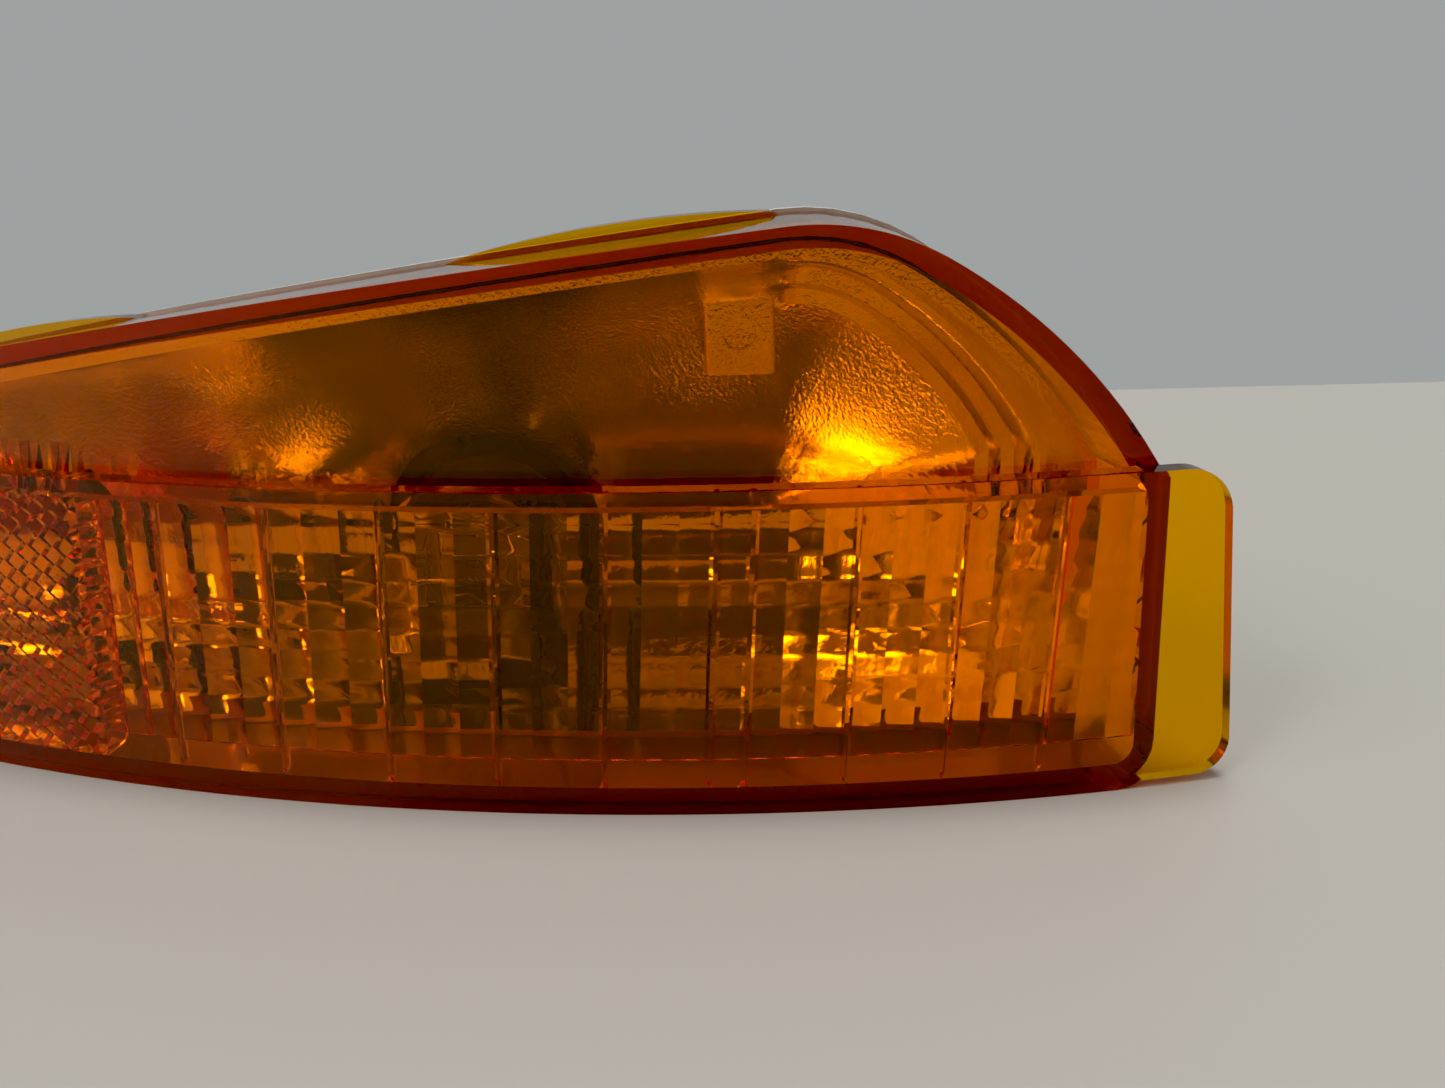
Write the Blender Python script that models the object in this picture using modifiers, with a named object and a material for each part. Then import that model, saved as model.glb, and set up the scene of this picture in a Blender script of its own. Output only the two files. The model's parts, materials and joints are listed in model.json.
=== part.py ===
"""Front park and turn signal lamp with side marker, for Blender 4.5.

The lamp is a shallow curved box: an amber lens bonded to a housing whose inside is a
reflector.  Two twist-lock bulb sockets close the back, and two threaded studs with
captive-washer nuts hold the lamp to the bodywork.

Most of the body is drawn flat and then bent round one arc.  A flat point is (u, t, z):
u runs along the lamp, positive inboard, t is the depth behind the lens face, and z is up.
All sizes below are millimetres and degrees.
"""

import math

import bmesh
import bpy
from mathutils import Matrix, Vector

MM = 0.001

# The arc that the lamp is bent round, and where its foremost point lies.
BEND_RADIUS = 240.0
BEND_CENTRE_U = 3.0
FRONT_X = 51.08
FRONT_Y = -50.0
LENS_SLICE = 9.0

# Outline of the lens, seen from the front.
INNER_END = 49.0
LOW_CORNER_RADIUS = 5.0
SHOULDER_CENTRE = (-10.3, -0.3)
SHOULDER_RADIUS = 69.4
SHOULDER_STOP = 60.5
PEAK_CENTRE = (10.1, 35.7)
PEAK_RADIUS = 28.0
TOP_START = (7.2, 63.55)
TOP_SLOPE = 0.105
TOP_FALL = 0.00036
END_CENTRE = (-148.3, 19.0)
END_RADIUS = 19.0
END_START = 102.4
END_STEPS = 9
CAP_CUTS = (21.0, 35.0)
STATIONS = 18

# The lens in depth: a thick lower band, and an upper face set back behind it.
LENS_WALL = 2.5
BAND_TOP = 37.0
STEP_DEPTH = 3.0
SKIRT_DEPTH = 19.4
TAB_THICK = 2.6
TAB_TOP_U = 55.8
TAB_LOW_U = 57.6
TAB_LOW_Z = 0.9
TAB_TOP_RADIUS = 5.5
TAB_LOW_RADIUS = 4.0
EAR_RISE = 1.6
EAR_DEPTH = 2.4
EARS = ((-33.0, 9.0), (-122.0, -76.0))
RIB_PITCH = 12.4
RIB_FIRST_U = -62.0
RIB_COUNT = 9
RIB_WIDTH = 1.0
RIB_DEPTH = 1.0
PARTITION_U = -75.4
PARTITION_THICK = 1.2
PARTITION_DEPTH = 6.0
PARTITION_TOP_GAP = 0.6

# A box that reaches past the whole lens: lowest u and t, highest u and z.
OVER_LOW = (-200.0, -5.0)
OVER_HIGH = (80.0, 90.0)

# Sealing joint between lens and housing.
GAP = 0.3
SEAL_THICK = 1.2
SEAL_SQUEEZE = 0.4
FLANGE_INSET = 0.6
FLANGE_THICK = 2.5
TONGUE_THICK = 1.6
TONGUE_FRONT = 15.0

# The housing bowl behind the lens.
HOUSING_WALL = 2.2
MARKER_DEPTH = 13.0
MAIN_DEPTH = 29.5
END_DEPTH_SHARE = 0.55
BOWL_RINGS = (1.0, 0.96, 0.86, 0.7, 0.45, 0.0)
FULL_FLOOR = 2.6
LEAN_CROWN = 1.35
SPINE_END_Z = 19.0
SPINE_MAIN_Z = 22.0

# Main bulb: turn and park filaments.  Its axis runs straight back, along +Y.
MAIN_U = -40.0
MAIN_Z = 18.0
MAIN_FLOOR_Y = 57.5
MAIN_BORE = 12.6
MAIN_RELIEF = 15.2
MAIN_COLLAR = 17.6
MAIN_COLLAR_REACH = 27.0

# Marker bulb: its axis is square to the lens where it stands.
MARKER_U = -112.0
MARKER_Z = 20.0
MARKER_FLOOR_T = 39.0
MARKER_BORE = 9.3
MARKER_RELIEF = 11.2
MARKER_COLLAR = 13.4
MARKER_COLLAR_REACH = 12.0

# Twist-lock: three lugs behind a floor, freed by a turn.
LOCK_ANGLE = 30.0
LUG_COUNT = 3
LUG_WIDTH = 5.0
LUG_THICK = 2.2
LUG_ROOM = 0.5
SEAT_FLOOR = 2.5
GASKET_THICK = 1.2
GASKET_INSET = 0.6
MAIN_SOCKET = {
    "barrel": 12.1,
    "barrel_length": 10.5,
    "lug_reach": 14.7,
    "flange": 16.2,
    "flange_thick": 2.4,
    "grip": 13.2,
    "grip_length": 4.0,
    "shroud_x": 21.0,
    "shroud_y": 15.0,
    "shroud_length": 13.0,
    "shroud_wall": 1.6,
    "plug_depth": 12.0,
    "cup_x": 19.6,
    "cup_y": 12.2,
    "cup_bottom": 2.0,
    "blade_x": 2.8,
    "blade_y": 0.8,
    "blades": ((-5.0, -5.0), (5.0, -5.0), (0.0, 5.0)),
}
MARKER_SOCKET = {
    "barrel": 8.8,
    "barrel_length": 7.0,
    "lug_reach": 10.8,
    "flange": 12.4,
    "flange_thick": 2.0,
    "grip": 9.6,
    "grip_length": 3.0,
    "shroud_x": 15.0,
    "shroud_y": 11.0,
    "shroud_length": 11.0,
    "shroud_wall": 1.5,
    "plug_depth": 10.0,
    "cup_x": 11.6,
    "cup_y": 8.4,
    "cup_bottom": 0.0,
    "blade_x": 0.7,
    "blade_y": 2.2,
    "blades": ((-4.6, 0.0), (4.6, 0.0)),
}

# Glass envelopes, by local height: the neck ends, base and tip all lie ahead of the floor.
MAIN_BULB = {
    "radius": 10.0,
    "neck": 6.4,
    "neck_end": -15.0,
    "base": -13.6,
    "tip": -42.5,
    "wall": 0.9,
}
MARKER_BULB = {
    "radius": 5.0,
    "neck": 3.7,
    "neck_end": -8.0,
    "base": -1.0,
    "tip": -25.0,
    "wall": 0.6,
}
MAIN_BASE = (8.6, 4.2, -13.2, 1.6)
MAIN_BASE_LIP = (9.3, 5.4, -11.0)

# Filaments: half the distance between the leads, offset, height, length and radius, and
# the radius of the leads.
TURN_FILAMENT = (3.9, -2.4, -31.5, 6.2, 0.6, 0.4)
PARK_FILAMENT = (3.2, 2.4, -27.5, 4.8, 0.45, 0.4)
MARKER_FILAMENT = (2.2, 0.0, -17.8, 3.2, 0.35, 0.25)

# Mounting studs, M5 with 0.8 mm pitch, along +Y.
STUD_RADIUS = 2.5
STUD_COLLAR_RADIUS = 3.8
STUD_BURIED = 12.0
STUD_PROUD = 18.0
STUD_COLLAR_TOP = 8.0
BOSS_RADIUS = 7.0
INNER_STUD_U = 2.6
INNER_STUD_Z = 48.5
INNER_STUD_FACE_Y = 58.0
OUTER_STUD_U = -142.0
OUTER_STUD_Z = 19.0
OUTER_STUD_FACE_Y = 82.0
WASHER_LIFT = 2.5
WASHER_RADIUS = 6.0
WASHER_THICK = 1.2
NUT_ACROSS_FLATS = 8.0
NUT_HEIGHT = 4.0
THREAD_CLEARANCE = 0.3

# Square pad on the reflector, the front of the inner stud's boss.
PAD_WIDTH = 8.6
PAD_HEIGHT = 10.6
PAD_FRONT_Y = 31.0

# Vent and locating pin.
VENT_U = -80.0
VENT_Z = 24.0
VENT_TUBE_RADIUS = 3.0
VENT_TUBE_LENGTH = 8.5
VENT_BORE = 1.6
VENT_CAP_RADIUS = 4.7
VENT_CAP_SKIRT = 5.0
VENT_END_Y = 58.0
PIN_U = 34.0
PIN_Z = 20.0
PIN_RADIUS = 3.0
PIN_LENGTH = 18.0
PIN_TIP_Y = 58.0


# ---------------------------------------------------------------- scene and materials


def clear_scene():
    for old in list(bpy.data.objects):
        bpy.data.objects.remove(old, do_unlink=True)


def new_collection(name):
    group = bpy.data.collections.new(name)
    bpy.context.scene.collection.children.link(group)
    return group


def new_material(name, colour, roughness, metallic=0.0, transmission=0.0):
    material = bpy.data.materials.new(name)
    material.use_nodes = True
    shader = material.node_tree.nodes["Principled BSDF"]
    shader.inputs["Base Color"].default_value = (*colour, 1.0)
    shader.inputs["Roughness"].default_value = roughness
    shader.inputs["Metallic"].default_value = metallic
    shader.inputs["Transmission Weight"].default_value = transmission
    material.diffuse_color = (*colour, 1.0)
    return material


clear_scene()
PARTS = new_collection("turn_signal_lamp")
CUTTERS = new_collection("cutters")

AMBER = new_material("amber_lens", (0.80, 0.25, 0.01), 0.06, transmission=0.9)
HOUSING_PLASTIC = new_material("housing_plastic", (0.05, 0.05, 0.055), 0.45)
SEALANT = new_material("sealant", (0.70, 0.67, 0.61), 0.6)
SOCKET_PLASTIC = new_material("socket_plastic", (0.03, 0.03, 0.032), 0.5)
RUBBER = new_material("rubber", (0.02, 0.02, 0.02), 0.8)
FOAM = new_material("foam", (0.18, 0.18, 0.17), 0.95)
BRASS = new_material("terminal_brass", (0.72, 0.52, 0.22), 0.3, metallic=1.0)
BULB_GLASS = new_material("bulb_glass", (0.95, 0.96, 0.96), 0.03, transmission=1.0)
BULB_BASE = new_material("bulb_base", (0.35, 0.36, 0.34), 0.5)
TUNGSTEN = new_material("tungsten", (0.35, 0.35, 0.36), 0.4, metallic=1.0)
LEAD_WIRE = new_material("lead_wire", (0.55, 0.53, 0.50), 0.35, metallic=1.0)
PLATED_STEEL = new_material("plated_steel", (0.62, 0.58, 0.45), 0.35, metallic=1.0)


# ---------------------------------------------------------------------- object helpers


def add_object(name, mesh, group, material=None):
    piece = bpy.data.objects.new(name, mesh)
    group.objects.link(piece)
    if material is not None:
        mesh.materials.clear()
        mesh.materials.append(material)
    if group is CUTTERS:
        piece.hide_render = True
        piece.display_type = "WIRE"
    return piece


def mesh_from(build):
    """A mesh made by a function that fills a BMesh, with its faces pointing out."""
    work = bmesh.new()
    build(work)
    bmesh.ops.recalc_face_normals(work, faces=work.faces)
    mesh = bpy.data.meshes.new("shape")
    work.to_mesh(mesh)
    work.free()
    return mesh


def tool(build):
    """A helper solid in the cutters collection, to be joined to or cut from a piece."""
    return add_object("tool", mesh_from(build), CUTTERS)


def combine(target, operation, tools):
    """Joins the tools to the target, or cuts them from it, and applies the result."""
    for other in tools:
        step = target.modifiers.new(operation.lower(), "BOOLEAN")
        step.operation = operation
        step.object = other
        step.solver = "EXACT"
    bpy.context.view_layer.update()
    seen = target.evaluated_get(bpy.context.evaluated_depsgraph_get())
    result = bpy.data.meshes.new_from_object(seen)
    target.modifiers.clear()
    target.data = result
    for other in tools:
        bpy.data.objects.remove(other, do_unlink=True)
    return target


def smooth(piece, angle=35.0):
    piece.data.shade_smooth()
    piece.data.set_sharp_from_angle(angle=math.radians(angle))
    return piece


def matrix_along(origin, heading=0.0):
    """Turns a piece's local +Z to point backwards, and stands it at origin (millimetres).

    heading swings that direction about the vertical, towards inboard when positive.
    """
    place = Matrix.Translation(Vector(origin) * MM)
    swing = Matrix.Rotation(-heading, 4, "Z")
    lay = Matrix.Rotation(math.radians(-90.0), 4, "X")
    return place @ swing @ lay


# --------------------------------------------------------------------- primitive shapes


def box_shape(low, high):
    """A box between two corners, in the piece's own axes."""
    size = [b - a for a, b in zip(low, high)]
    middle = [(a + b) / 2 for a, b in zip(low, high)]

    def build(work):
        stretch = Matrix.Diagonal((*[s * MM for s in size], 1.0))
        shift = Matrix.Translation(Vector(middle) * MM)
        bmesh.ops.create_cube(work, size=1.0, matrix=shift @ stretch)

    return build


def cone_shape(radius_low, radius_high, low, high, centre=(0.0, 0.0), sides=32):
    """A cylinder or cone about the local Z axis, from height low to high."""

    def build(work):
        shift = Matrix.Translation(
            Vector((centre[0], centre[1], (low + high) / 2)) * MM
        )
        bmesh.ops.create_cone(
            work,
            cap_ends=True,
            segments=sides,
            radius1=radius_low * MM,
            radius2=radius_high * MM,
            depth=(high - low) * MM,
            matrix=shift,
        )

    return build


def rod_shape(radius, low, high, centre=(0.0, 0.0), sides=32):
    return cone_shape(radius, radius, low, high, centre, sides)


def placed_tool(build, matrix):
    piece = tool(build)
    piece.matrix_world = matrix
    return piece


def turned(name, profile, material, matrix, steps=32, group=PARTS):
    """A turned piece: the profile's (radius, height) points run down its outer side."""
    mesh = bpy.data.meshes.new(name)
    points = [(radius * MM, 0.0, height * MM) for radius, height in profile]
    edges = [(i, i + 1) for i in range(len(points) - 1)]
    if profile[0][0] > 0.0:
        edges.append((len(points) - 1, 0))
    mesh.from_pydata(points, edges, [])
    piece = add_object(name, mesh, group, material)
    screw = piece.modifiers.new("turn", "SCREW")
    screw.axis = "Z"
    screw.steps = steps
    screw.render_steps = steps
    screw.use_merge_vertices = True
    screw.merge_threshold = 0.00001
    screw.use_smooth_shade = True
    piece.matrix_world = matrix
    return piece


def ring(name, inner, outer, low, high, material, matrix, steps=32):
    profile = ((outer, high), (outer, low), (inner, low), (inner, high))
    return turned(name, profile, material, matrix, steps)


# ------------------------------------------------------------------- outline of the lamp


def arc(centre, radius, start, stop, count, skip_first=False):
    points = []
    for i in range(1 if skip_first else 0, count + 1):
        angle = math.radians(start + (stop - start) * i / count)
        points.append((centre[0] + radius * math.cos(angle), centre[1] + radius * math.sin(angle)))
    return points


def top_edge(u, inset):
    """The long top edge at u, moved inwards square to itself by inset."""
    run = TOP_START[0] - u
    slope = TOP_SLOPE + 2.0 * TOP_FALL * run
    z = TOP_START[1] - TOP_SLOPE * run - TOP_FALL * run * run
    tilt = math.atan(slope)
    return u + inset * math.sin(tilt), z - inset * math.cos(tilt)


def outline(inset, floor=None):
    """The lens outline moved inwards by inset, anticlockwise from the outboard low end.

    Each point is (u, z, spine u): the last says where on the bowl's spine it leads.
    floor, if given, is the lowest z that any point may have.
    """
    low_u = END_CENTRE[0]
    high_u = TOP_START[0]
    stations = [low_u + (high_u - low_u) * i / STATIONS for i in range(STATIONS + 1)]
    points = [(u, inset, u) for u in stations]

    corner = (INNER_END - LOW_CORNER_RADIUS, LOW_CORNER_RADIUS)
    reach = (INNER_END - inset - SHOULDER_CENTRE[0]) / (SHOULDER_RADIUS - inset)
    shoulder_start = math.degrees(math.acos(reach))
    inboard = [((high_u + corner[0]) / 2, inset)]
    inboard += arc(corner, LOW_CORNER_RADIUS - inset, -90.0, 0.0, 3)
    inboard.append((INNER_END - inset, BAND_TOP / 2))
    inboard += arc(
        SHOULDER_CENTRE, SHOULDER_RADIUS - inset, shoulder_start, SHOULDER_STOP, 6
    )
    peak_stop = 90.0 + math.degrees(math.atan(TOP_SLOPE))
    inboard += arc(
        PEAK_CENTRE, PEAK_RADIUS - inset, SHOULDER_STOP, peak_stop, 5, skip_first=True
    )[:-1]
    points += [(u, z, high_u) for u, z in inboard]

    points += [(*top_edge(u, inset), u) for u in reversed(stations)]
    end = arc(END_CENTRE, END_RADIUS - inset, END_START, 270.0, END_STEPS)[:-1]
    points += [(u, z, low_u) for u, z in end]
    if floor is not None:
        points = [(u, max(z, floor), spine) for u, z, spine in points]
    return points


def ring_at(inset, depth, floor=None):
    return [(u, depth, z) for u, z, _ in outline(inset, floor)]


# ---------------------------------------------------------------------- bending the body


def bent(u, t, z):
    """The world place, in millimetres, of the flat point (u, t, z)."""
    angle = (u - BEND_CENTRE_U) / BEND_RADIUS
    reach = BEND_RADIUS - t
    x = FRONT_X + reach * math.sin(angle)
    y = FRONT_Y + BEND_RADIUS - reach * math.cos(angle)
    return Vector((x, y, z))


def cap(work, row):
    """Closes a ring: in strips across the lamp where the ring is a whole outline."""
    if len(row) != len(outline(0.0)):
        work.faces.new(row)
        return
    inboard = len(row) - 2 * (STATIONS + 1) - END_STEPS + 1
    top = 2 * STATIONS + 1 + inboard
    for i in range(STATIONS):
        work.faces.new((row[i], row[i + 1], row[top - i - 1], row[top - i]))
    work.faces.new(row[STATIONS : STATIONS + inboard + 2])
    work.faces.new(row[top:] + row[:1])


def loft_shape(rings, closed=False, tip=False):
    """A solid skinned over rings of matching points.

    closed joins the last ring to the first.  tip says that the last ring has shrunk to a
    line, so it needs no cap.
    """

    def build(work):
        rows = [[work.verts.new(Vector(p) * MM) for p in points] for points in rings]
        pairs = list(zip(rows, rows[1:]))
        if closed:
            pairs.append((rows[-1], rows[0]))
        for near, far in pairs:
            for i in range(len(near)):
                j = (i + 1) % len(near)
                work.faces.new((near[i], near[j], far[j], far[i]))
        if not closed:
            cap(work, rows[0])
            if not tip:
                cap(work, rows[-1])
        bmesh.ops.remove_doubles(work, verts=work.verts, dist=1e-6)

    return build


def bend_mesh(mesh, cuts):
    """Cuts a flat mesh across at each u in cuts, and bends it round the arc, in place."""
    work = bmesh.new()
    work.from_mesh(mesh)
    for u in cuts:
        bmesh.ops.bisect_plane(
            work,
            geom=work.verts[:] + work.edges[:] + work.faces[:],
            dist=1e-7,
            plane_co=(u * MM, 0.0, 0.0),
            plane_no=(1.0, 0.0, 0.0),
        )
    bmesh.ops.triangulate(work, faces=work.faces)
    for v in work.verts:
        v.co = bent(v.co.x / MM, v.co.y / MM, v.co.z / MM) * MM
    bmesh.ops.recalc_face_normals(work, faces=work.faces)
    work.to_mesh(mesh)
    work.free()


def prism_shape(points, front, back):
    """A flat outline of (u, z) points, given depth from front to back."""
    return loft_shape(
        [[(u, front, z) for u, z in points], [(u, back, z) for u, z in points]]
    )


MAIN_ORIGIN = (bent(MAIN_U, 45.0, MAIN_Z).x, FRONT_Y + MAIN_FLOOR_Y, MAIN_Z)
MARKER_ORIGIN = tuple(bent(MARKER_U, MARKER_FLOOR_T, MARKER_Z))
MARKER_HEADING = -(MARKER_U - BEND_CENTRE_U) / BEND_RADIUS


# --------------------------------------------------------------------------------- lens


def tab_outline():
    """The flat tab past the lens's inboard end, with its two outer corners rounded."""
    root = INNER_END - 2.0
    low = (TAB_LOW_U - TAB_LOW_RADIUS, TAB_LOW_Z + TAB_LOW_RADIUS)
    high = (TAB_TOP_U - TAB_TOP_RADIUS, BAND_TOP - TAB_TOP_RADIUS)
    points = [(root, TAB_LOW_Z)]
    points += arc(low, TAB_LOW_RADIUS, -90.0, 0.0, 5)
    points += arc(high, TAB_TOP_RADIUS, 0.0, 90.0, 6)
    points.append((root, BAND_TOP))
    return points


def ear_outline(start, stop):
    """A low hump on the top edge between two places along the lamp."""
    count = 8
    crest = []
    for i in range(count + 1):
        share = i / count
        u = start + (stop - start) * share
        rise = EAR_RISE * math.sin(math.pi * share) ** 0.7 if 0 < i < count else 0.0
        crest.append(top_edge(min(u, TOP_START[0]), -rise))
    root = [top_edge(min(u, TOP_START[0]), 1.5) for u in (stop, start)]
    return crest + root


def make_lens():
    lens = add_object(
        "lens", mesh_from(loft_shape([ring_at(0.0, 0.0), ring_at(0.0, SKIRT_DEPTH)])), PARTS, AMBER
    )
    ears = [
        tool(prism_shape(ear_outline(*ear), SKIRT_DEPTH - EAR_DEPTH, SKIRT_DEPTH)) for ear in EARS
    ]
    tab = tool(prism_shape(tab_outline(), 0.0, TAB_THICK))
    step = tool(
        box_shape((*OVER_LOW, BAND_TOP), (OVER_HIGH[0], STEP_DEPTH, OVER_HIGH[1]))
    )
    combine(lens, "DIFFERENCE", [step])
    combine(lens, "UNION", [tab, *ears])

    # What the pocket leaves standing: the thick top of the band, ribs and partition.
    top = (OVER_HIGH[0], STEP_DEPTH + LENS_WALL)
    left = [(OVER_LOW, top, BAND_TOP - LENS_WALL, OVER_HIGH[1])]
    for i in range(RIB_COUNT):
        u = RIB_FIRST_U + RIB_PITCH * i
        low = (u - RIB_WIDTH / 2, 0.0)
        high = (u + RIB_WIDTH / 2, LENS_WALL + RIB_DEPTH)
        left.append((low, high, 0.0, BAND_TOP - LENS_WALL + 1.0))
    low = (PARTITION_U - PARTITION_THICK / 2, 0.0)
    high = (PARTITION_U + PARTITION_THICK / 2, PARTITION_DEPTH)
    left.append((low, high, 0.0, BAND_TOP - LENS_WALL - PARTITION_TOP_GAP))
    pocket = tool(
        loft_shape([ring_at(LENS_WALL, LENS_WALL), ring_at(LENS_WALL, SKIRT_DEPTH + 5.0)])
    )
    standing = [
        tool(box_shape((*low, low_z), (*high, high_z))) for low, high, low_z, high_z in left
    ]
    combine(pocket, "DIFFERENCE", standing)
    combine(lens, "DIFFERENCE", [pocket])
    count = int((TAB_LOW_U - END_CENTRE[0] + END_RADIUS) / LENS_SLICE)
    bend_mesh(lens.data, [TAB_LOW_U - LENS_SLICE * (i + 0.5) for i in range(count)])
    smooth(lens)


def make_seal():
    front = SKIRT_DEPTH + GAP
    back = front + SEAL_THICK
    outer = -SEAL_SQUEEZE
    inner = LENS_WALL - GAP
    rings = [
        ring_at(outer, front, GAP),
        ring_at(outer, back, GAP),
        ring_at(inner, back),
        ring_at(inner, front),
    ]
    seal = add_object("lens_seal", mesh_from(loft_shape(rings, closed=True)), PARTS, SEALANT)
    bend_mesh(seal.data, [])
    smooth(seal)


# ------------------------------------------------------------------------------ housing


def ease(value):
    """A smooth step from 0 to 1."""
    value = max(0.0, min(1.0, value))
    return value * value * (3.0 - 2.0 * value)


def chamber_depth(u):
    """Depth of the bowl along its spine: deep behind the main bulb, shallow outboard."""
    inboard = 1.0 - (1.0 - END_DEPTH_SHARE) * ease((u + 2.0) / 45.0)
    return MARKER_DEPTH + (MAIN_DEPTH - MARKER_DEPTH) * ease((u + 88.0) / 38.0) * inboard


def spine_height(u):
    along = (u - END_CENTRE[0]) / (TOP_START[0] - END_CENTRE[0])
    return SPINE_END_Z + (SPINE_MAIN_Z - SPINE_END_Z) * along


def bowl_ring(share, inset, start):
    """One ring of the bowl: the outline shrunk by share towards the spine.

    The bowl is full below the spine and leans in more evenly above it.
    """
    points = []
    for u, z, spine in outline(inset):
        core_z = spine_height(spine)
        du = u - spine
        dz = z - core_z
        lift = 0.5 + 0.5 * dz / math.hypot(du, dz)
        power = FULL_FLOOR + (LEAN_CROWN - FULL_FLOOR) * lift
        fall = (1.0 - share**power) ** (1.0 / power)
        flat_u = spine + du * share
        points.append((flat_u, start + chamber_depth(flat_u) * fall, core_z + dz * share))
    return points


def socket_seat(origin, heading, bore, relief, collar, reach):
    """Tools for a twist-lock seat: the collar to add, and what to cut from it."""
    place = matrix_along(origin, heading)
    add = placed_tool(rod_shape(collar, -reach, 0.0, sides=48), place)
    cuts = [
        placed_tool(rod_shape(relief, -reach - 5.0, -SEAT_FLOOR, sides=48), place),
        placed_tool(rod_shape(bore, -SEAT_FLOOR - 2.0, 5.0, sides=48), place),
    ]
    for i in range(LUG_COUNT):
        turn = Matrix.Rotation(math.radians(LOCK_ANGLE + 360.0 * i / LUG_COUNT), 4, "Z")
        notch = box_shape(
            (bore - 3.0, -LUG_WIDTH / 2 - LUG_ROOM, -SEAT_FLOOR - 1.0),
            (relief - 0.1, LUG_WIDTH / 2 + LUG_ROOM, 3.0),
        )
        cuts.append(placed_tool(notch, place @ turn))
    return add, cuts


def stud_place(u, z, face_y):
    return matrix_along((bent(u, 45.0, z).x, FRONT_Y + face_y, z))


def make_housing():
    flange_front = SKIRT_DEPTH + 2.0 * GAP + SEAL_THICK
    flange_back = flange_front + FLANGE_THICK
    tongue = LENS_WALL + GAP
    inner = tongue + TONGUE_THICK
    outer = inner - HOUSING_WALL
    bowl_start = flange_back - HOUSING_WALL

    rings = [
        ring_at(tongue, TONGUE_FRONT),
        ring_at(tongue, flange_front),
        ring_at(FLANGE_INSET, flange_front),
        ring_at(FLANGE_INSET, flange_back),
    ]
    rings += [bowl_ring(share, outer, flange_back) for share in BOWL_RINGS]
    housing = add_object(
        "housing", mesh_from(loft_shape(rings, tip=True)), PARTS, HOUSING_PLASTIC
    )
    bend_mesh(housing.data, CAP_CUTS)

    cavity_rings = [ring_at(inner, TONGUE_FRONT - 3.0)]
    cavity_rings += [bowl_ring(share, inner, bowl_start) for share in BOWL_RINGS]
    cavity = tool(loft_shape(cavity_rings, tip=True))
    bend_mesh(cavity.data, CAP_CUTS)

    main_collar, main_cuts = socket_seat(
        MAIN_ORIGIN, 0.0, MAIN_BORE, MAIN_RELIEF, MAIN_COLLAR, MAIN_COLLAR_REACH
    )
    marker_collar, marker_cuts = socket_seat(
        MARKER_ORIGIN,
        MARKER_HEADING,
        MARKER_BORE,
        MARKER_RELIEF,
        MARKER_COLLAR,
        MARKER_COLLAR_REACH,
    )
    combine(housing, "UNION", [main_collar, marker_collar])
    combine(housing, "DIFFERENCE", [cavity])

    inner_stud = stud_place(INNER_STUD_U, INNER_STUD_Z, INNER_STUD_FACE_Y)
    outer_stud = stud_place(OUTER_STUD_U, OUTER_STUD_Z, OUTER_STUD_FACE_Y)
    vent = matrix_along((bent(VENT_U, 40.0, VENT_Z).x, FRONT_Y + VENT_END_Y, VENT_Z))
    pin = matrix_along((bent(PIN_U, 40.0, PIN_Z).x, FRONT_Y + PIN_TIP_Y, PIN_Z))
    pad = box_shape(
        (-PAD_WIDTH / 2, -PAD_HEIGHT / 2, PAD_FRONT_Y - INNER_STUD_FACE_Y),
        (PAD_WIDTH / 2, PAD_HEIGHT / 2, -8.0),
    )
    additions = [
        placed_tool(pad, inner_stud),
        placed_tool(rod_shape(BOSS_RADIUS, -15.0, 0.0), inner_stud),
        placed_tool(rod_shape(BOSS_RADIUS, -15.0, 0.0), outer_stud),
        placed_tool(rod_shape(VENT_TUBE_RADIUS, -VENT_TUBE_LENGTH, 0.0, sides=20), vent),
        placed_tool(cone_shape(PIN_RADIUS, PIN_RADIUS * 0.6, -PIN_LENGTH, 0.0, sides=20), pin),
    ]
    combine(housing, "UNION", additions)

    cuts = main_cuts + marker_cuts
    cuts.append(placed_tool(rod_shape(VENT_BORE, -30.0, 2.0, sides=16), vent))
    for place in (inner_stud, outer_stud):
        shank = STUD_RADIUS + THREAD_CLEARANCE
        collar = STUD_COLLAR_RADIUS + THREAD_CLEARANCE
        buried = STUD_BURIED + THREAD_CLEARANCE
        cuts.append(placed_tool(rod_shape(shank, -buried + 1.0, 2.0), place))
        cuts.append(placed_tool(rod_shape(collar, -buried, -STUD_COLLAR_TOP), place))
    combine(housing, "DIFFERENCE", cuts)
    smooth(housing)


# ------------------------------------------------------------------------- bulb sockets


def rounded(piece, width, segments=2):
    bevel = piece.modifiers.new("edges", "BEVEL")
    bevel.width = width * MM
    bevel.segments = segments
    bevel.limit_method = "ANGLE"
    return piece


def block(name, low, high, material, matrix, edge=0.0):
    piece = add_object(name, mesh_from(box_shape(low, high)), PARTS, material)
    piece.matrix_world = matrix
    if edge:
        rounded(piece, edge)
    return piece


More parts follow.
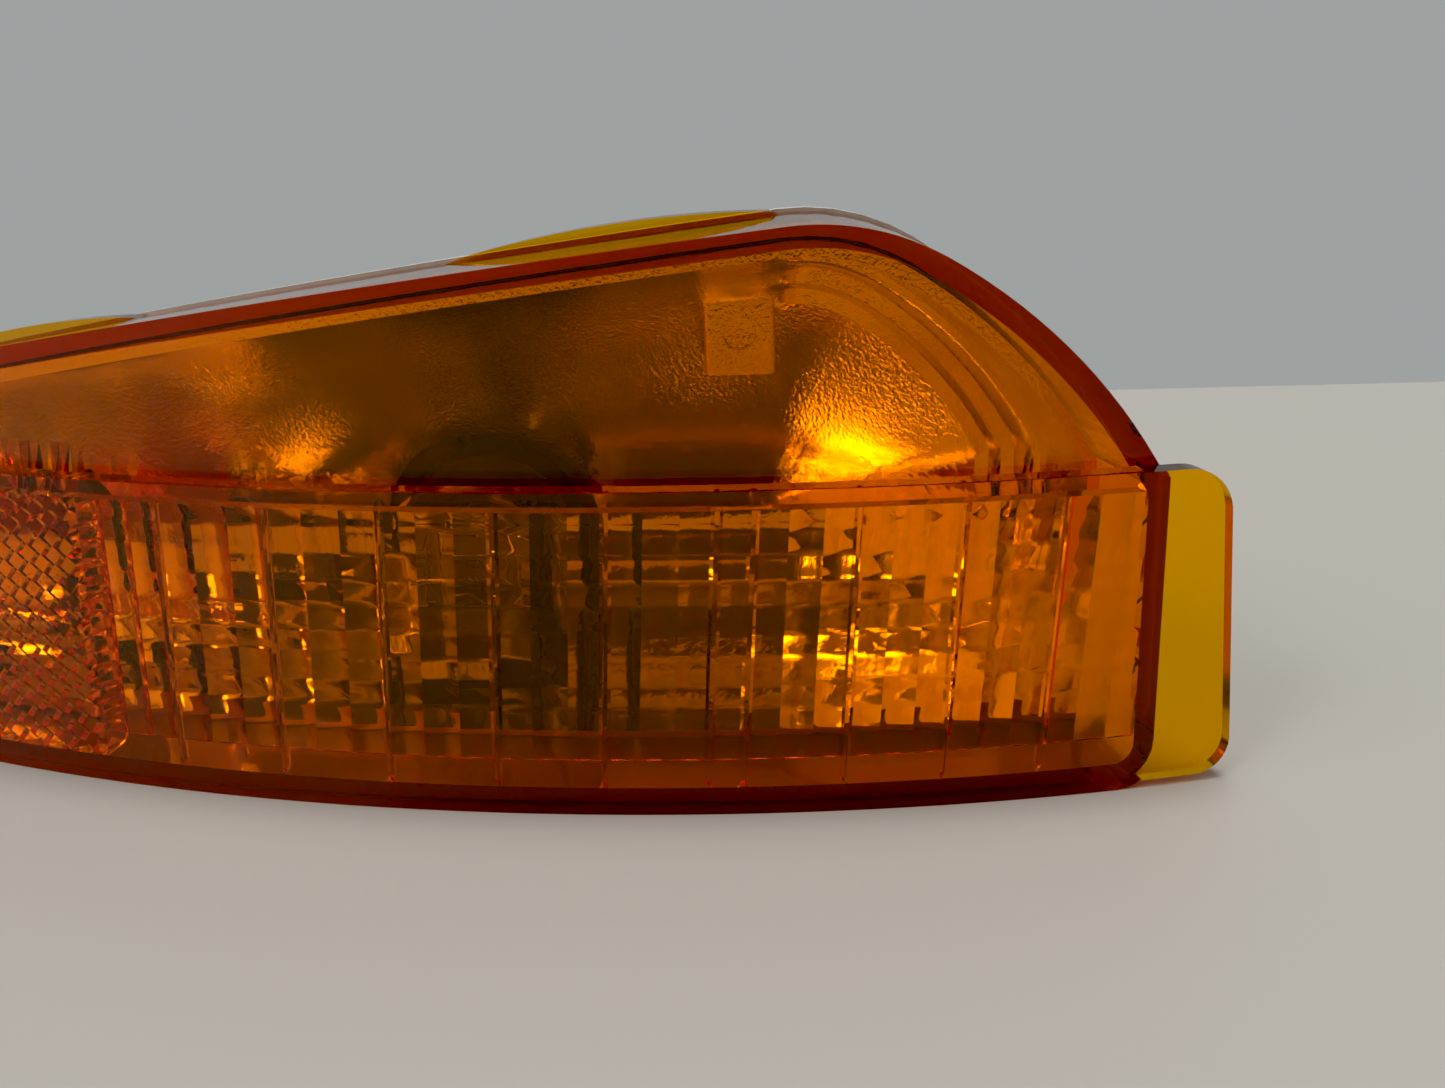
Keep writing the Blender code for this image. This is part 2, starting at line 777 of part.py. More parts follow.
def twist_socket(name, matrix, size):
    """A twist-lock socket: barrel with lugs, flange, finger grip and connector shroud.

    Local heights count backwards from the rear face of the housing's floor.
    """
    flange_low = GASKET_THICK + 2.0 * GAP
    flange_high = flange_low + size["flange_thick"]
    grip_high = flange_high + size["grip_length"]
    profile = [
        (0.0, grip_high),
        (size["grip"] - 0.8, grip_high),
        (size["grip"], grip_high - 0.8),
        (size["grip"], flange_high),
        (size["flange"], flange_high),
        (size["flange"], flange_low),
        (size["barrel"], flange_low),
        (size["barrel"], -size["barrel_length"] + 0.8),
        (size["barrel"] - 0.8, -size["barrel_length"]),
        (0.0, -size["barrel_length"]),
    ]
    socket = turned(name, profile, SOCKET_PLASTIC, matrix, steps=40)
    half_x = size["shroud_x"] / 2
    half_y = size["shroud_y"] / 2
    shroud_high = grip_high + size["shroud_length"]
    additions = [
        placed_tool(
            box_shape((-half_x, -half_y, grip_high - 2.0), (half_x, half_y, shroud_high)), matrix
        ),
        placed_tool(
            box_shape(
                (-size["flange"] + 1.0, -1.2, flange_high - 0.5),
                (size["flange"] - 1.0, 1.2, grip_high),
            ),
            matrix,
        ),
    ]
    lug_high = -SEAT_FLOOR - GAP
    for i in range(LUG_COUNT):
        turn = Matrix.Rotation(math.radians(360.0 * i / LUG_COUNT), 4, "Z")
        lug = box_shape(
            (size["barrel"] - 2.0, -LUG_WIDTH / 2, lug_high - LUG_THICK),
            (size["lug_reach"], LUG_WIDTH / 2, lug_high),
        )
        additions.append(placed_tool(lug, matrix @ turn))
    combine(socket, "UNION", additions)

    wall = size["shroud_wall"]
    cuts = [
        placed_tool(
            box_shape(
                (-half_x + wall, -half_y + wall, shroud_high - size["plug_depth"]),
                (half_x - wall, half_y - wall, shroud_high + 1.0),
            ),
            matrix,
        ),
        placed_tool(
            box_shape(
                (-size["cup_x"] / 2, -size["cup_y"] / 2, -size["barrel_length"] - 1.0),
                (size["cup_x"] / 2, size["cup_y"] / 2, size["cup_bottom"]),
            ),
            matrix,
        ),
    ]
    for x, y in size["blades"]:
        slot_x = size["blade_x"] / 2 + GAP
        slot_y = size["blade_y"] / 2 + GAP
        cuts.append(
            placed_tool(
                box_shape((x - slot_x, y - slot_y, -2.0), (x + slot_x, y + slot_y, shroud_high)),
                matrix,
            )
        )
    combine(socket, "DIFFERENCE", cuts)
    smooth(socket)
    return shroud_high


def terminals(names, matrix, size, shroud_high):
    for name, (x, y) in zip(names, size["blades"]):
        half_x = size["blade_x"] / 2
        half_y = size["blade_y"] / 2
        low = (x - half_x, y - half_y, -size["barrel_length"] + 2.0)
        high = (x + half_x, y + half_y, shroud_high - 2.5)
        block(name, low, high, BRASS, matrix, edge=0.15)


def filament(name, leads, matrix, base, sizes):
    """A filament lying across the bulb, and the two straight leads that hold it up."""
    spread, y, height, length, radius, lead_radius = sizes
    lie = Matrix.Rotation(math.radians(90.0), 4, "Y")
    shift = Matrix.Translation(Vector((0.0, y, height)) * MM)
    coil = add_object(
        name, mesh_from(rod_shape(radius, -length / 2, length / 2, sides=12)), PARTS, TUNGSTEN
    )
    coil.matrix_world = matrix @ shift @ lie
    smooth(coil)
    for lead_name, x in zip(leads, (-spread, spread)):
        rod = rod_shape(lead_radius, height - radius, base, (x, y), sides=10)
        lead = add_object(lead_name, mesh_from(rod), PARTS, LEAD_WIRE)
        lead.matrix_world = matrix
        smooth(lead)


def glass_profile(size, inset=0.0, past=0.0):
    """Outline of a bulb: narrow from its base to neck_end, and round at its forward tip.

    past carries the neck on behind the base, for the hollow that is cut from a bulb.
    """
    radius = size["radius"] - inset
    neck = size["neck"] - inset
    tip = size["tip"] + inset
    shoulder = size["neck_end"] - (radius - neck) * 1.3
    top = size["base"] + past
    points = [(0.0, top), (neck, top), (neck, size["neck_end"]), (radius, shoulder)]
    points += arc((0.0, tip + radius), radius, 0.0, -90.0, 6)
    return points[:-1] + [(0.0, tip)]


def bulb_glass(name, size, matrix):
    """A thin glass envelope, open at its base."""
    glass = turned(name, glass_profile(size), BULB_GLASS, matrix, steps=22)
    hollow = glass_profile(size, inset=size["wall"], past=1.0)
    cutter = turned("hollow", hollow, None, matrix, steps=22, group=CUTTERS)
    combine(glass, "DIFFERENCE", [cutter])
    smooth(glass)


def gasket(name, bore, size, matrix):
    """The rubber ring squeezed between a socket's flange and its seat."""
    outer = size["flange"] - GASKET_INSET
    ring(name, bore + 0.4, outer, GAP, GAP + GASKET_THICK, RUBBER, matrix, steps=40)


def make_main_light():
    place = matrix_along(MAIN_ORIGIN)
    shroud_high = twist_socket("main_socket", place, MAIN_SOCKET)
    gasket("main_socket_gasket", MAIN_BORE, MAIN_SOCKET, place)
    names = ("main_terminal_turn", "main_terminal_park", "main_terminal_ground")
    terminals(names, place, MAIN_SOCKET, shroud_high)

    half_x, half_y, low, high = MAIN_BASE
    lip_x, lip_y, lip_high = MAIN_BASE_LIP
    base = block(
        "main_bulb_base", (-half_x, -half_y, low), (half_x, half_y, high), BULB_BASE, place
    )
    lip = placed_tool(box_shape((-lip_x, -lip_y, low), (lip_x, lip_y, lip_high)), place)
    combine(base, "UNION", [lip])
    rounded(base, 0.5)

    bulb_glass("main_bulb_glass", MAIN_BULB, place)
    leads_end = MAIN_BULB["base"]
    turn_leads = ("turn_lead_outboard", "turn_lead_inboard")
    park_leads = ("park_lead_outboard", "park_lead_inboard")
    filament("turn_filament", turn_leads, place, leads_end, TURN_FILAMENT)
    filament("park_filament", park_leads, place, leads_end, PARK_FILAMENT)


def make_marker_light():
    place = matrix_along(MARKER_ORIGIN, MARKER_HEADING)
    shroud_high = twist_socket("marker_socket", place, MARKER_SOCKET)
    gasket("marker_socket_gasket", MARKER_BORE, MARKER_SOCKET, place)
    names = ("marker_terminal_feed", "marker_terminal_ground")
    terminals(names, place, MARKER_SOCKET, shroud_high)
    bulb_glass("marker_bulb_glass", MARKER_BULB, place)
    leads = ("marker_lead_outboard", "marker_lead_inboard")
    filament("marker_filament", leads, place, MARKER_BULB["base"], MARKER_FILAMENT)


# ------------------------------------------------------------------ fastenings and vent


def make_stud(side, place):
    profile = [
        (0.0, STUD_PROUD),
        (STUD_RADIUS - 0.6, STUD_PROUD),
        (STUD_RADIUS, STUD_PROUD - 0.8),
        (STUD_RADIUS, -STUD_COLLAR_TOP - THREAD_CLEARANCE),
        (STUD_COLLAR_RADIUS, -STUD_COLLAR_TOP - THREAD_CLEARANCE),
        (STUD_COLLAR_RADIUS, -STUD_BURIED),
        (0.0, -STUD_BURIED),
    ]
    turned(f"stud_{side}", profile, PLATED_STEEL, place, steps=24)
    hole = STUD_RADIUS + THREAD_CLEARANCE
    washer_top = WASHER_LIFT + WASHER_THICK
    ring(
        f"washer_{side}", hole, WASHER_RADIUS, WASHER_LIFT, washer_top, PLATED_STEEL, place, steps=24
    )
    nut_low = washer_top + GAP
    across_corners = NUT_ACROSS_FLATS / math.cos(math.radians(30.0))
    nut = add_object(
        f"nut_{side}",
        mesh_from(rod_shape(across_corners / 2, nut_low, nut_low + NUT_HEIGHT, sides=6)),
        PARTS,
        PLATED_STEEL,
    )
    nut.matrix_world = place
    combine(nut, "DIFFERENCE", [placed_tool(rod_shape(hole, 0.0, 20.0, sides=24), place)])
    rounded(nut, 0.3, segments=1)


def make_vent():
    place = matrix_along((bent(VENT_U, 40.0, VENT_Z).x, FRONT_Y + VENT_END_Y, VENT_Z))
    foam_low = GAP
    foam_high = foam_low + 1.0
    foam = add_object(
        "vent_foam",
        mesh_from(rod_shape(VENT_TUBE_RADIUS - 0.1, foam_low, foam_high, sides=20)),
        PARTS,
        FOAM,
    )
    foam.matrix_world = place
    inner = VENT_TUBE_RADIUS + GAP
    profile = [
        (0.0, foam_high + 1.7),
        (VENT_CAP_RADIUS - 0.7, foam_high + 1.7),
        (VENT_CAP_RADIUS, foam_high + 1.0),
        (VENT_CAP_RADIUS, -VENT_CAP_SKIRT),
        (inner, -VENT_CAP_SKIRT),
        (inner, foam_high + GAP),
        (0.0, foam_high + GAP),
    ]
    turned("vent_cap", profile, RUBBER, place, steps=24)


make_lens()
make_seal()
make_housing()
make_main_light()
make_marker_light()
make_stud("inboard", stud_place(INNER_STUD_U, INNER_STUD_Z, INNER_STUD_FACE_Y))
make_stud("outboard", stud_place(OUTER_STUD_U, OUTER_STUD_Z, OUTER_STUD_FACE_Y))
make_vent()
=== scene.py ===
"""Looks of the front park and turn signal lamp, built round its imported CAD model.

The lamp's body is drawn flat and bent round one arc, as in the CAD.  A flat point is
(u, t, z): u runs along the lamp, positive inboard, t is the depth behind the lens face,
and z is up.  Sizes are millimetres and degrees unless a name says otherwise.
"""

import json
import math
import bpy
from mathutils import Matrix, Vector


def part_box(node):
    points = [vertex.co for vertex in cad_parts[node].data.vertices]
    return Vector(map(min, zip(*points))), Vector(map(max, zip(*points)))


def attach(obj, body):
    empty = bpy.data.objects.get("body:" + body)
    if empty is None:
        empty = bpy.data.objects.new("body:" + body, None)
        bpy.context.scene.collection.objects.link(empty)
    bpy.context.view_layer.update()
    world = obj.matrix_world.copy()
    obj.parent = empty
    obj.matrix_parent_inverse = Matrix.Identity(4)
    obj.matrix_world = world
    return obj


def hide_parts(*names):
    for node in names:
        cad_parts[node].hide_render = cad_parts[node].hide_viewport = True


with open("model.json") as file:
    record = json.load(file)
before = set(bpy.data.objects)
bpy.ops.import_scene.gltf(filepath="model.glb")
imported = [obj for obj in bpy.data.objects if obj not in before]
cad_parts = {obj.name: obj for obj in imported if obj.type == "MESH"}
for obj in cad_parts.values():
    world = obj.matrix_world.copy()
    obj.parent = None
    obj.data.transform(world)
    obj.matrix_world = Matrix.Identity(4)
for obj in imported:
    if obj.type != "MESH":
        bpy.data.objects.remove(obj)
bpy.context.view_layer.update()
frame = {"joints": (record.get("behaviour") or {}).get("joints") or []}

from types import SimpleNamespace

import bmesh
import bpy
import numpy as np
from mathutils import Matrix, Vector
from mathutils.geometry import delaunay_2d_cdt

MM = 0.001
WELD = 1e-6

# ---- sizes, as in the CAD

BEND_RADIUS = 240.0
BEND_CENTRE_U = 3.0
INNER_END = 49.0
LOW_CORNER_RADIUS = 5.0
SHOULDER_CENTRE = (-10.3, -0.3)
SHOULDER_RADIUS = 69.4
SHOULDER_STOP = 60.5
PEAK_CENTRE = (10.1, 35.7)
PEAK_RADIUS = 28.0
TOP_START = (7.2, 63.55)
TOP_SLOPE = 0.105
TOP_FALL = 0.00036
END_CENTRE = (-148.3, 19.0)
END_RADIUS = 19.0
END_START = 102.4

LENS_WALL = 2.5
BAND_TOP = 37.0
STEP_DEPTH = 3.0
SKIRT_DEPTH = 19.4
TAB_THICK = 2.6
TAB_TOP_U = 55.8
TAB_LOW_U = 57.6
TAB_LOW_Z = 0.9
TAB_TOP_RADIUS = 5.5
TAB_LOW_RADIUS = 4.0
EAR_RISE = 1.6
EAR_DEPTH = 2.4
EARS = ((-33.0, 9.0), (-122.0, -76.0))
GAP = 0.3
SEAL_THICK = 1.2

LENS_LOW, LENS_HIGH = [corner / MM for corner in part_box("lens")]
FRONT_Y = LENS_LOW.y
FRONT_X = LENS_HIGH.x - BEND_RADIUS * math.sin((TAB_LOW_U - BEND_CENTRE_U) / BEND_RADIUS)

# Optics on the inside of the lens.
EDGE_ROUND = 0.45
INBOARD_RIB = 37.6
INBOARD_PITCH = 11.35
OUTBOARD_RIB = -0.4
OUTBOARD_PITCH = 11.7
PITCH_GROWTH = 0.22
NARROW_GAP = 5.0
SLANT = 0.055
SLANT_GROWTH = 0.00045
RIB_WIDTH = 0.45
RIB_DEPTH = 1.0
FLUTES_PER_RIB = 3
FLUTE_RISE = 0.34
FLUTE_STEPS = 6
PILLOW_PITCH = 2.95
PILLOW_RISE = 0.11
PILLOW_STEPS = 5
STRIP_TOP = 5.9
REFLEX_EDGE_U = -75.9
REFLEX_PITCH = 2.2
PARTITION_THICK = 1.0
PARTITION_DEPTH = 6.0

# ---- outline of the lamp


def arc(centre, radius, start, stop, count):
    angles = [math.radians(start + (stop - start) * i / count) for i in range(count + 1)]
    return [(centre[0] + radius * math.cos(a), centre[1] + radius * math.sin(a)) for a in angles]


def circle(radius, sides):
    return arc((0.0, 0.0), radius, 0.0, 360.0, sides)[:-1]


def top_edge(u, inset):
    run = TOP_START[0] - u
    slope = TOP_SLOPE + 2.0 * TOP_FALL * run
    z = TOP_START[1] - TOP_SLOPE * run - TOP_FALL * run * run
    tilt = math.atan(slope)
    return u + inset * math.sin(tilt), z - inset * math.cos(tilt)


def outline(inset, stations=60, fine=3):
    """The lens outline moved inwards by inset, anticlockwise from the outboard low end.

    Each point is (u, z, spine u): the last says where on the bowl's spine it leads.
    """
    low_u = END_CENTRE[0]
    high_u = TOP_START[0]
    along = [low_u + (high_u - low_u) * i / stations for i in range(stations + 1)]
    points = [(u, inset, u) for u in along]
    corner = (INNER_END - LOW_CORNER_RADIUS, LOW_CORNER_RADIUS)
    shoulder = SHOULDER_RADIUS - inset
    reach = (INNER_END - inset - SHOULDER_CENTRE[0]) / shoulder
    shoulder_start = math.degrees(math.acos(reach))
    wall_top = SHOULDER_CENTRE[1] + shoulder * math.sin(math.radians(shoulder_start))
    shares = [i / (4 * fine) for i in range(1, 4 * fine)]
    inboard = [(high_u + (corner[0] - high_u) * share, inset) for share in shares]
    inboard += arc(corner, LOW_CORNER_RADIUS - inset, -90.0, 0.0, 2 * fine)
    inboard += [(INNER_END - inset, corner[1] + (wall_top - corner[1]) * share) for share in shares]
    inboard += arc(SHOULDER_CENTRE, shoulder, shoulder_start, SHOULDER_STOP, 5 * fine)
    peak_stop = 90.0 + math.degrees(math.atan(TOP_SLOPE))
    inboard += arc(PEAK_CENTRE, PEAK_RADIUS - inset, SHOULDER_STOP, peak_stop, 4 * fine)[1:-1]
    points += [(u, z, high_u) for u, z in inboard]
    points += [(*top_edge(u, inset), u) for u in reversed(along)]
    end = arc(END_CENTRE, END_RADIUS - inset, END_START, 270.0, 8 * fine)[:-1]
    return points + [(u, z, low_u) for u, z in end]


def ring_at(inset, depth, **more):
    return [(u, depth, z) for u, z, _ in outline(inset, **more)]


def bent(u, t, z):
    """The world place, in millimetres, of the flat point (u, t, z)."""
    angle = (u - BEND_CENTRE_U) / BEND_RADIUS
    reach = BEND_RADIUS - t
    x = FRONT_X + reach * math.sin(angle)
    y = FRONT_Y + BEND_RADIUS - reach * math.cos(angle)
    return Vector((x, y, z))


# ---- mesh helpers


def mesh_from(build):
    work = bmesh.new()
    build(work)
    bmesh.ops.recalc_face_normals(work, faces=work.faces)
    mesh = bpy.data.meshes.new("shape")
    work.to_mesh(mesh)
    work.free()
    return mesh


def add_object(name, mesh, materials=()):
    piece = bpy.data.objects.new(name, mesh)
    bpy.context.scene.collection.objects.link(piece)
    for material in materials:
        mesh.materials.append(material)
    return piece


def skin(work, rings):
    """Rows of faces between rings of millimetre points, with the rings' vertices."""
    rows = [[work.verts.new(Vector(p) * MM) for p in points] for points in rings]
    faces = []
    for near, far in zip(rows, rows[1:]):
        for i in range(len(near)):
            j = (i + 1) % len(near)
            faces.append(work.faces.new((near[i], near[j], far[j], far[i])))
    return rows, faces


def loft_shape(rings, tip=False):
    """A body through the rings, capped at both ends, or closed to a point at the last."""

    def build(work):
        rows, _ = skin(work, rings)
        work.faces.new(rows[0])
        if not tip:
            work.faces.new(list(reversed(rows[-1])))
        bmesh.ops.remove_doubles(work, verts=work.verts, dist=WELD)

    return build


def box_shape(low, high):
    size = [b - a for a, b in zip(low, high)]
    middle = [(a + b) / 2 for a, b in zip(low, high)]

    def build(work):
        stretch = Matrix.Diagonal((*[s * MM for s in size], 1.0))
        shift = Matrix.Translation(Vector(middle) * MM)
        bmesh.ops.create_cube(work, size=1.0, matrix=shift @ stretch)

    return build


def prism_shape(points, front, back):
    return loft_shape([[(u, t, z) for u, z in points] for t in (front, back)])


def upright_shape(points, low, high):
    return loft_shape([[(x, y, z) for x, y in points] for z in (low, high)])


def combine(target, operation, tools, keep=False):
    """Joins the tools to the target, or cuts them from it, and removes the tools."""
    for other in tools:
        step = target.modifiers.new(operation.lower(), "BOOLEAN")
        step.operation = operation
        step.object = other
        step.solver = "EXACT"
    apply_modifiers(target)
    if not keep:
        for other in tools:
            bpy.data.objects.remove(other, do_unlink=True)


def apply_modifiers(piece):
    bpy.context.view_layer.update()
    seen = piece.evaluated_get(bpy.context.evaluated_depsgraph_get())
    mesh = bpy.data.meshes.new_from_object(seen)
    piece.modifiers.clear()
    piece.data = mesh


def tool(build):
    return add_object("tool", mesh_from(build))


def bend_mesh(mesh, pitch):
    """Slices a flat mesh every pitch along the lamp and bends it round the arc."""
    work = bmesh.new()
    work.from_mesh(mesh)
    low = min(v.co.x for v in work.verts) / MM
    high = max(v.co.x for v in work.verts) / MM
    for i in range(1, int((high - low) / pitch)):
        bmesh.ops.bisect_plane(
            work,
            geom=work.verts[:] + work.edges[:] + work.faces[:],
            dist=WELD / 10.0,
            plane_co=((low + pitch * i) * MM, 0.0, 0.0),
            plane_no=(1.0, 0.0, 0.0),
        )
    bmesh.ops.triangulate(work, faces=[f for f in work.faces if len(f.verts) > 4])
    for v in work.verts:
        v.co = bent(v.co.x / MM, v.co.y / MM, v.co.z / MM) * MM
    bmesh.ops.recalc_face_normals(work, faces=work.faces)
    work.to_mesh(mesh)
    work.free()


# ---- straight and turned shapes


def matrix_along(origin, aim=0.0):
    """Puts local Z along +Y turned by aim radians about Z, and keeps local Y near -Z."""
    z_axis = Vector((math.sin(aim), math.cos(aim), 0.0))
    y_axis = Vector((0.0, 0.0, -1.0))
    x_axis = y_axis.cross(z_axis)
    turn = Matrix((x_axis, y_axis, z_axis)).transposed().to_4x4()
    return Matrix.Translation(Vector(origin) * MM) @ turn


def turned(degrees, axis="Z"):
    return Matrix.Rotation(math.radians(degrees), 4, axis)


def placed(build, matrix):
    """A tool built in local millimetres and moved, with its mesh, to its place."""
    piece = tool(build)
    piece.data.transform(matrix)
    return piece


def turned_shape(profile, steps=64):
    """A turned body: the profile's (radius, height) points run round its half section."""

    def build(work):
        rows = []
        for radius, height in profile:
            ring = circle(radius, steps if radius > 0.0 else 1)
            rows.append([work.verts.new(Vector((x, y, height)) * MM) for x, y in ring])
        pairs = list(zip(rows, rows[1:]))
        if profile[0][0] > 0.0:
            pairs.append((rows[-1], rows[0]))
        for near, far in pairs:
            for i in range(steps):
                j = (i + 1) % steps
                corners = near[i % len(near)], near[j % len(near)], far[j % len(far)], far[i % len(far)]
                unique = list(dict.fromkeys(corners))
                if len(unique) > 2:
                    work.faces.new(unique)

    return build


def rod_shape(radius, low, high, sides=48):
    return upright_shape(circle(radius, sides), low, high)


def centred_box(half_x, half_y, low, high, radius, steps=5):
    """A box round local Z whose four edges along it are rounded."""
    points = []
    for side_x, side_y, start in ((1, -1, -90.0), (1, 1, 0.0), (-1, 1, 90.0), (-1, -1, 180.0)):
        centre = (side_x * (half_x - radius), side_y * (half_y - radius))
        points += arc(centre, radius, start, start + 90.0, steps)
    return upright_shape(points, low, high)


def bevel(piece, width, segments=2, angle=35.0):
    edges = piece.modifiers.new("edges", "BEVEL")
    edges.width = width * MM
    edges.segments = segments
    edges.limit_method = "ANGLE"
    edges.angle_limit = math.radians(angle)
    apply_modifiers(piece)
    return piece


def tube_along(points, radius, sides):
    """A round wire along a path, closed at both ends."""
    path = [Vector(p) for p in points]
    rings = []
    side = None
    for i, here in enumerate(path):
        along = path[min(i + 1, len(path) - 1)] - path[max(i - 1, 0)]
        along.normalize()
        if side is None:
            side = along.orthogonal()
        side = (side - along * side.dot(along)).normalized()
        up = along.cross(side)
        rings.append([tuple(here + side * x + up * y) for x, y in circle(radius, sides)])
    return loft_shape(rings)


def stand_in(piece, node, kind, body, angle):
    """Names and smooths the piece, and lets it stand for its CAD node.

    Broad faces rule its shading, so that slivers beside them don't show.
    """
    piece.name = f"{node}_{kind}"
    piece.data.shade_smooth()
    piece.data.set_sharp_from_angle(angle=math.radians(angle))
    weigh = piece.modifiers.new("weigh", "WEIGHTED_NORMAL")
    weigh.keep_sharp = True
    weigh.weight = 50
    apply_modifiers(piece)
    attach(piece, body)
    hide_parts(node)


def finish_piece(piece, node, kind, body, slot, angle=35.0):
    piece.data.materials.clear()
    piece.data.materials.append(FINISHES[slot])
    stand_in(piece, node, kind, body, angle)


def dress(node, slot):
    """Gives a CAD node that keeps its shape its finished material."""
    for holder in bpy.data.objects[node].material_slots:
        holder.material = FINISHES[slot]


# ---- node materials


class Nodes:
    """Short calls for building a node tree."""

    def __init__(self, tree):
        self.tree = tree
        self.coordinates = self.add("ShaderNodeTexCoord").outputs

    def add(self, kind, inputs=(), **settings):
        node = self.tree.nodes.new(kind)
        for key, value in settings.items():
            setattr(node, key, value)
        for key, value in dict(inputs).items():
            self.feed(node.inputs[key], value)
        return node

    def feed(self, socket, value):
        if isinstance(value, bpy.types.NodeSocket):
            self.tree.links.new(value, socket)
        else:
            socket.default_value = value

    def spread(self, value, low, high, to_low=0.0, to_high=1.0, **settings):
        """Maps value from low..high to to_low..to_high, held at both ends."""
        ends = {"From Min": low, "From Max": high, "To Min": to_low, "To Max": to_high}
        return self.add("ShaderNodeMapRange", {"Value": value, **ends}, **settings).outputs["Result"]

    def mix(self, factor, first, second):
        inputs = {"Factor": factor, 6: first, 7: second}
        return self.add("ShaderNodeMix", inputs, data_type="RGBA").outputs[2]


class Surface(Nodes):
    """The node tree of one new material, whose noises stay fixed to the object."""

    def __init__(self, name):
        self.material = bpy.data.materials.new(name)
        self.material.use_nodes = True
        super().__init__(self.material.node_tree)
        self.shader = self.tree.nodes["Principled BSDF"]
        self.place = self.coordinates["Object"]

    def set(self, inputs):
        for key, value in inputs.items():
            self.feed(self.shader.inputs[key], value)

    def noise(self, scale, detail=3.0, roughness=0.5, stretch=None):
        place = self.place
        if stretch:
            place = self.add("ShaderNodeMapping", {"Vector": place, "Scale": stretch}).outputs["Vector"]
        inputs = {"Vector": place, "Scale": scale, "Detail": detail, "Roughness": roughness}
        return self.add("ShaderNodeTexNoise", inputs).outputs["Fac"]

    def bump(self, height, distance_mm):
        relief = self.add("ShaderNodeBump", {"Height": height, "Distance": distance_mm * MM})
        self.feed(self.shader.inputs["Normal"], relief.outputs["Normal"])


def amber_material():
    """Clear amber acrylic: the deeper the light's path in it, the redder and darker."""
    n = Surface("amber_lens")
    n.set({"Base Color": (1.0, 0.64, 0.065, 1.0), "Roughness": 0.03, "IOR": 1.49})
    n.set({"Transmission Weight": 0.985, "Specular IOR Level": 0.3})
    n.bump(n.noise(180.0, 2.0), 0.02)
    inputs = {"Color": (0.997, 0.88, 0.03, 1.0), "Density": 900.0}
    absorb = n.add("ShaderNodeVolumeAbsorption", inputs).outputs["Volume"]
    n.feed(n.tree.nodes["Material Output"].inputs["Volume"], absorb)
    return n.material


def metallised_material():
    """Vacuum-metallised plastic: smooth behind the band, leather-grained above it."""
    n = Surface("metallised_reflector")
    height = n.add("ShaderNodeSeparateXYZ", {"Vector": n.place}).outputs["Z"]
    grained = n.spread(height, 0.030, 0.036)
    grain = n.noise(2200.0, 2.0, 0.55, stretch=(1.0, 1.0, 0.8))
    fine = n.noise(500.0, 2.0)
    inputs = {0: grained, 2: n.spread(fine, 0.0, 1.0, 0.0, 0.8), 3: grain}
    n.bump(n.add("ShaderNodeMix", inputs).outputs[0], 0.09)
    n.set({"Base Color": (0.90, 0.89, 0.87, 1.0), "Metallic": 1.0})
    n.set({"Roughness": n.spread(grained, 0.0, 1.0, 0.08, 0.14)})
    return n.material


def moulded_material(name, dark, light, grain_mm, bump_mm, roughness):
    """Moulded plastic or rubber: an even grain, and a tone that wanders a little."""
    n = Surface(name)
    tone = n.noise(70.0, 4.0)
    n.set({"Base Color": n.mix(n.spread(tone, 0.3, 0.7), (*dark, 1.0), (*light, 1.0))})
    n.set({"Roughness": n.spread(tone, 0.3, 0.7, roughness, roughness + 0.16)})
    n.bump(n.noise(1.0 / (grain_mm * MM), 2.0), bump_mm)
    return n.material


def foam_material():
    """Open-cell foam: pale walls round real pores, with painted shade darkening the pores."""
    n = Surface("vent_foam")
    pores = n.add("ShaderNodeTexVoronoi", {"Vector": n.place, "Scale": 1600.0}).outputs["Distance"]
    # The pore pattern is real and also drives the bump; the dark tone in the pores is painted shade.
    shade = n.mix(n.spread(pores, 0.1, 0.6), (0.05, 0.05, 0.048, 1.0), (0.26, 0.26, 0.24, 1.0))
    n.set({"Base Color": shade, "Roughness": 0.95})
    n.bump(pores, 0.3)
    return n.material


# How a metal's streaks are stretched: along a drawn strip or wire, or not at all.
DRAWN = (1.0, 0.05, 1.0)
EVEN = (1.0, 1.0, 1.0)


def metal_material(name, first, second, streaks, roughness, bump_mm):
    """Metal with drawn streaks or mottled plating between two tones."""
    n = Surface(name)
    mottle = n.noise(260.0, 5.0, 0.6)
    lines = n.noise(900.0, 3.0, 0.5, stretch=streaks)
    n.set({"Base Color": n.mix(n.spread(mottle, 0.35, 0.65), (*first, 1.0), (*second, 1.0))})
    n.set({"Metallic": 1.0, "Roughness": n.spread(lines, 0.3, 0.7, roughness, roughness + 0.18)})
    n.bump(lines, bump_mm)
    return n.material


def glass_material():
    """Blown glass, with the faint waves that blowing leaves."""
    n = Surface("bulb_glass")
    n.set({"Base Color": (0.97, 0.98, 0.975, 1.0), "Roughness": 0.0, "IOR": 1.5})
    n.set({"Transmission Weight": 1.0})
    n.bump(n.noise(140.0, 1.0), 0.05)
    return n.material


# Each slot's two tones, its grain and bump in millimetres, and its roughness.
MOULDED = {
    "housing_plastic": ((0.028, 0.028, 0.030), (0.046, 0.045, 0.046), 0.45, 0.05, 0.4),
    "sealant": ((0.66, 0.63, 0.57), (0.74, 0.71, 0.65), 1.4, 0.12, 0.5),
    "socket_plastic": ((0.035, 0.036, 0.039), (0.055, 0.056, 0.060), 0.35, 0.03, 0.34),
    "rubber": ((0.018, 0.018, 0.018), (0.030, 0.029, 0.028), 0.3, 0.03, 0.62),
    "bulb_base": ((0.30, 0.31, 0.29), (0.38, 0.39, 0.36), 0.4, 0.03, 0.38),
}
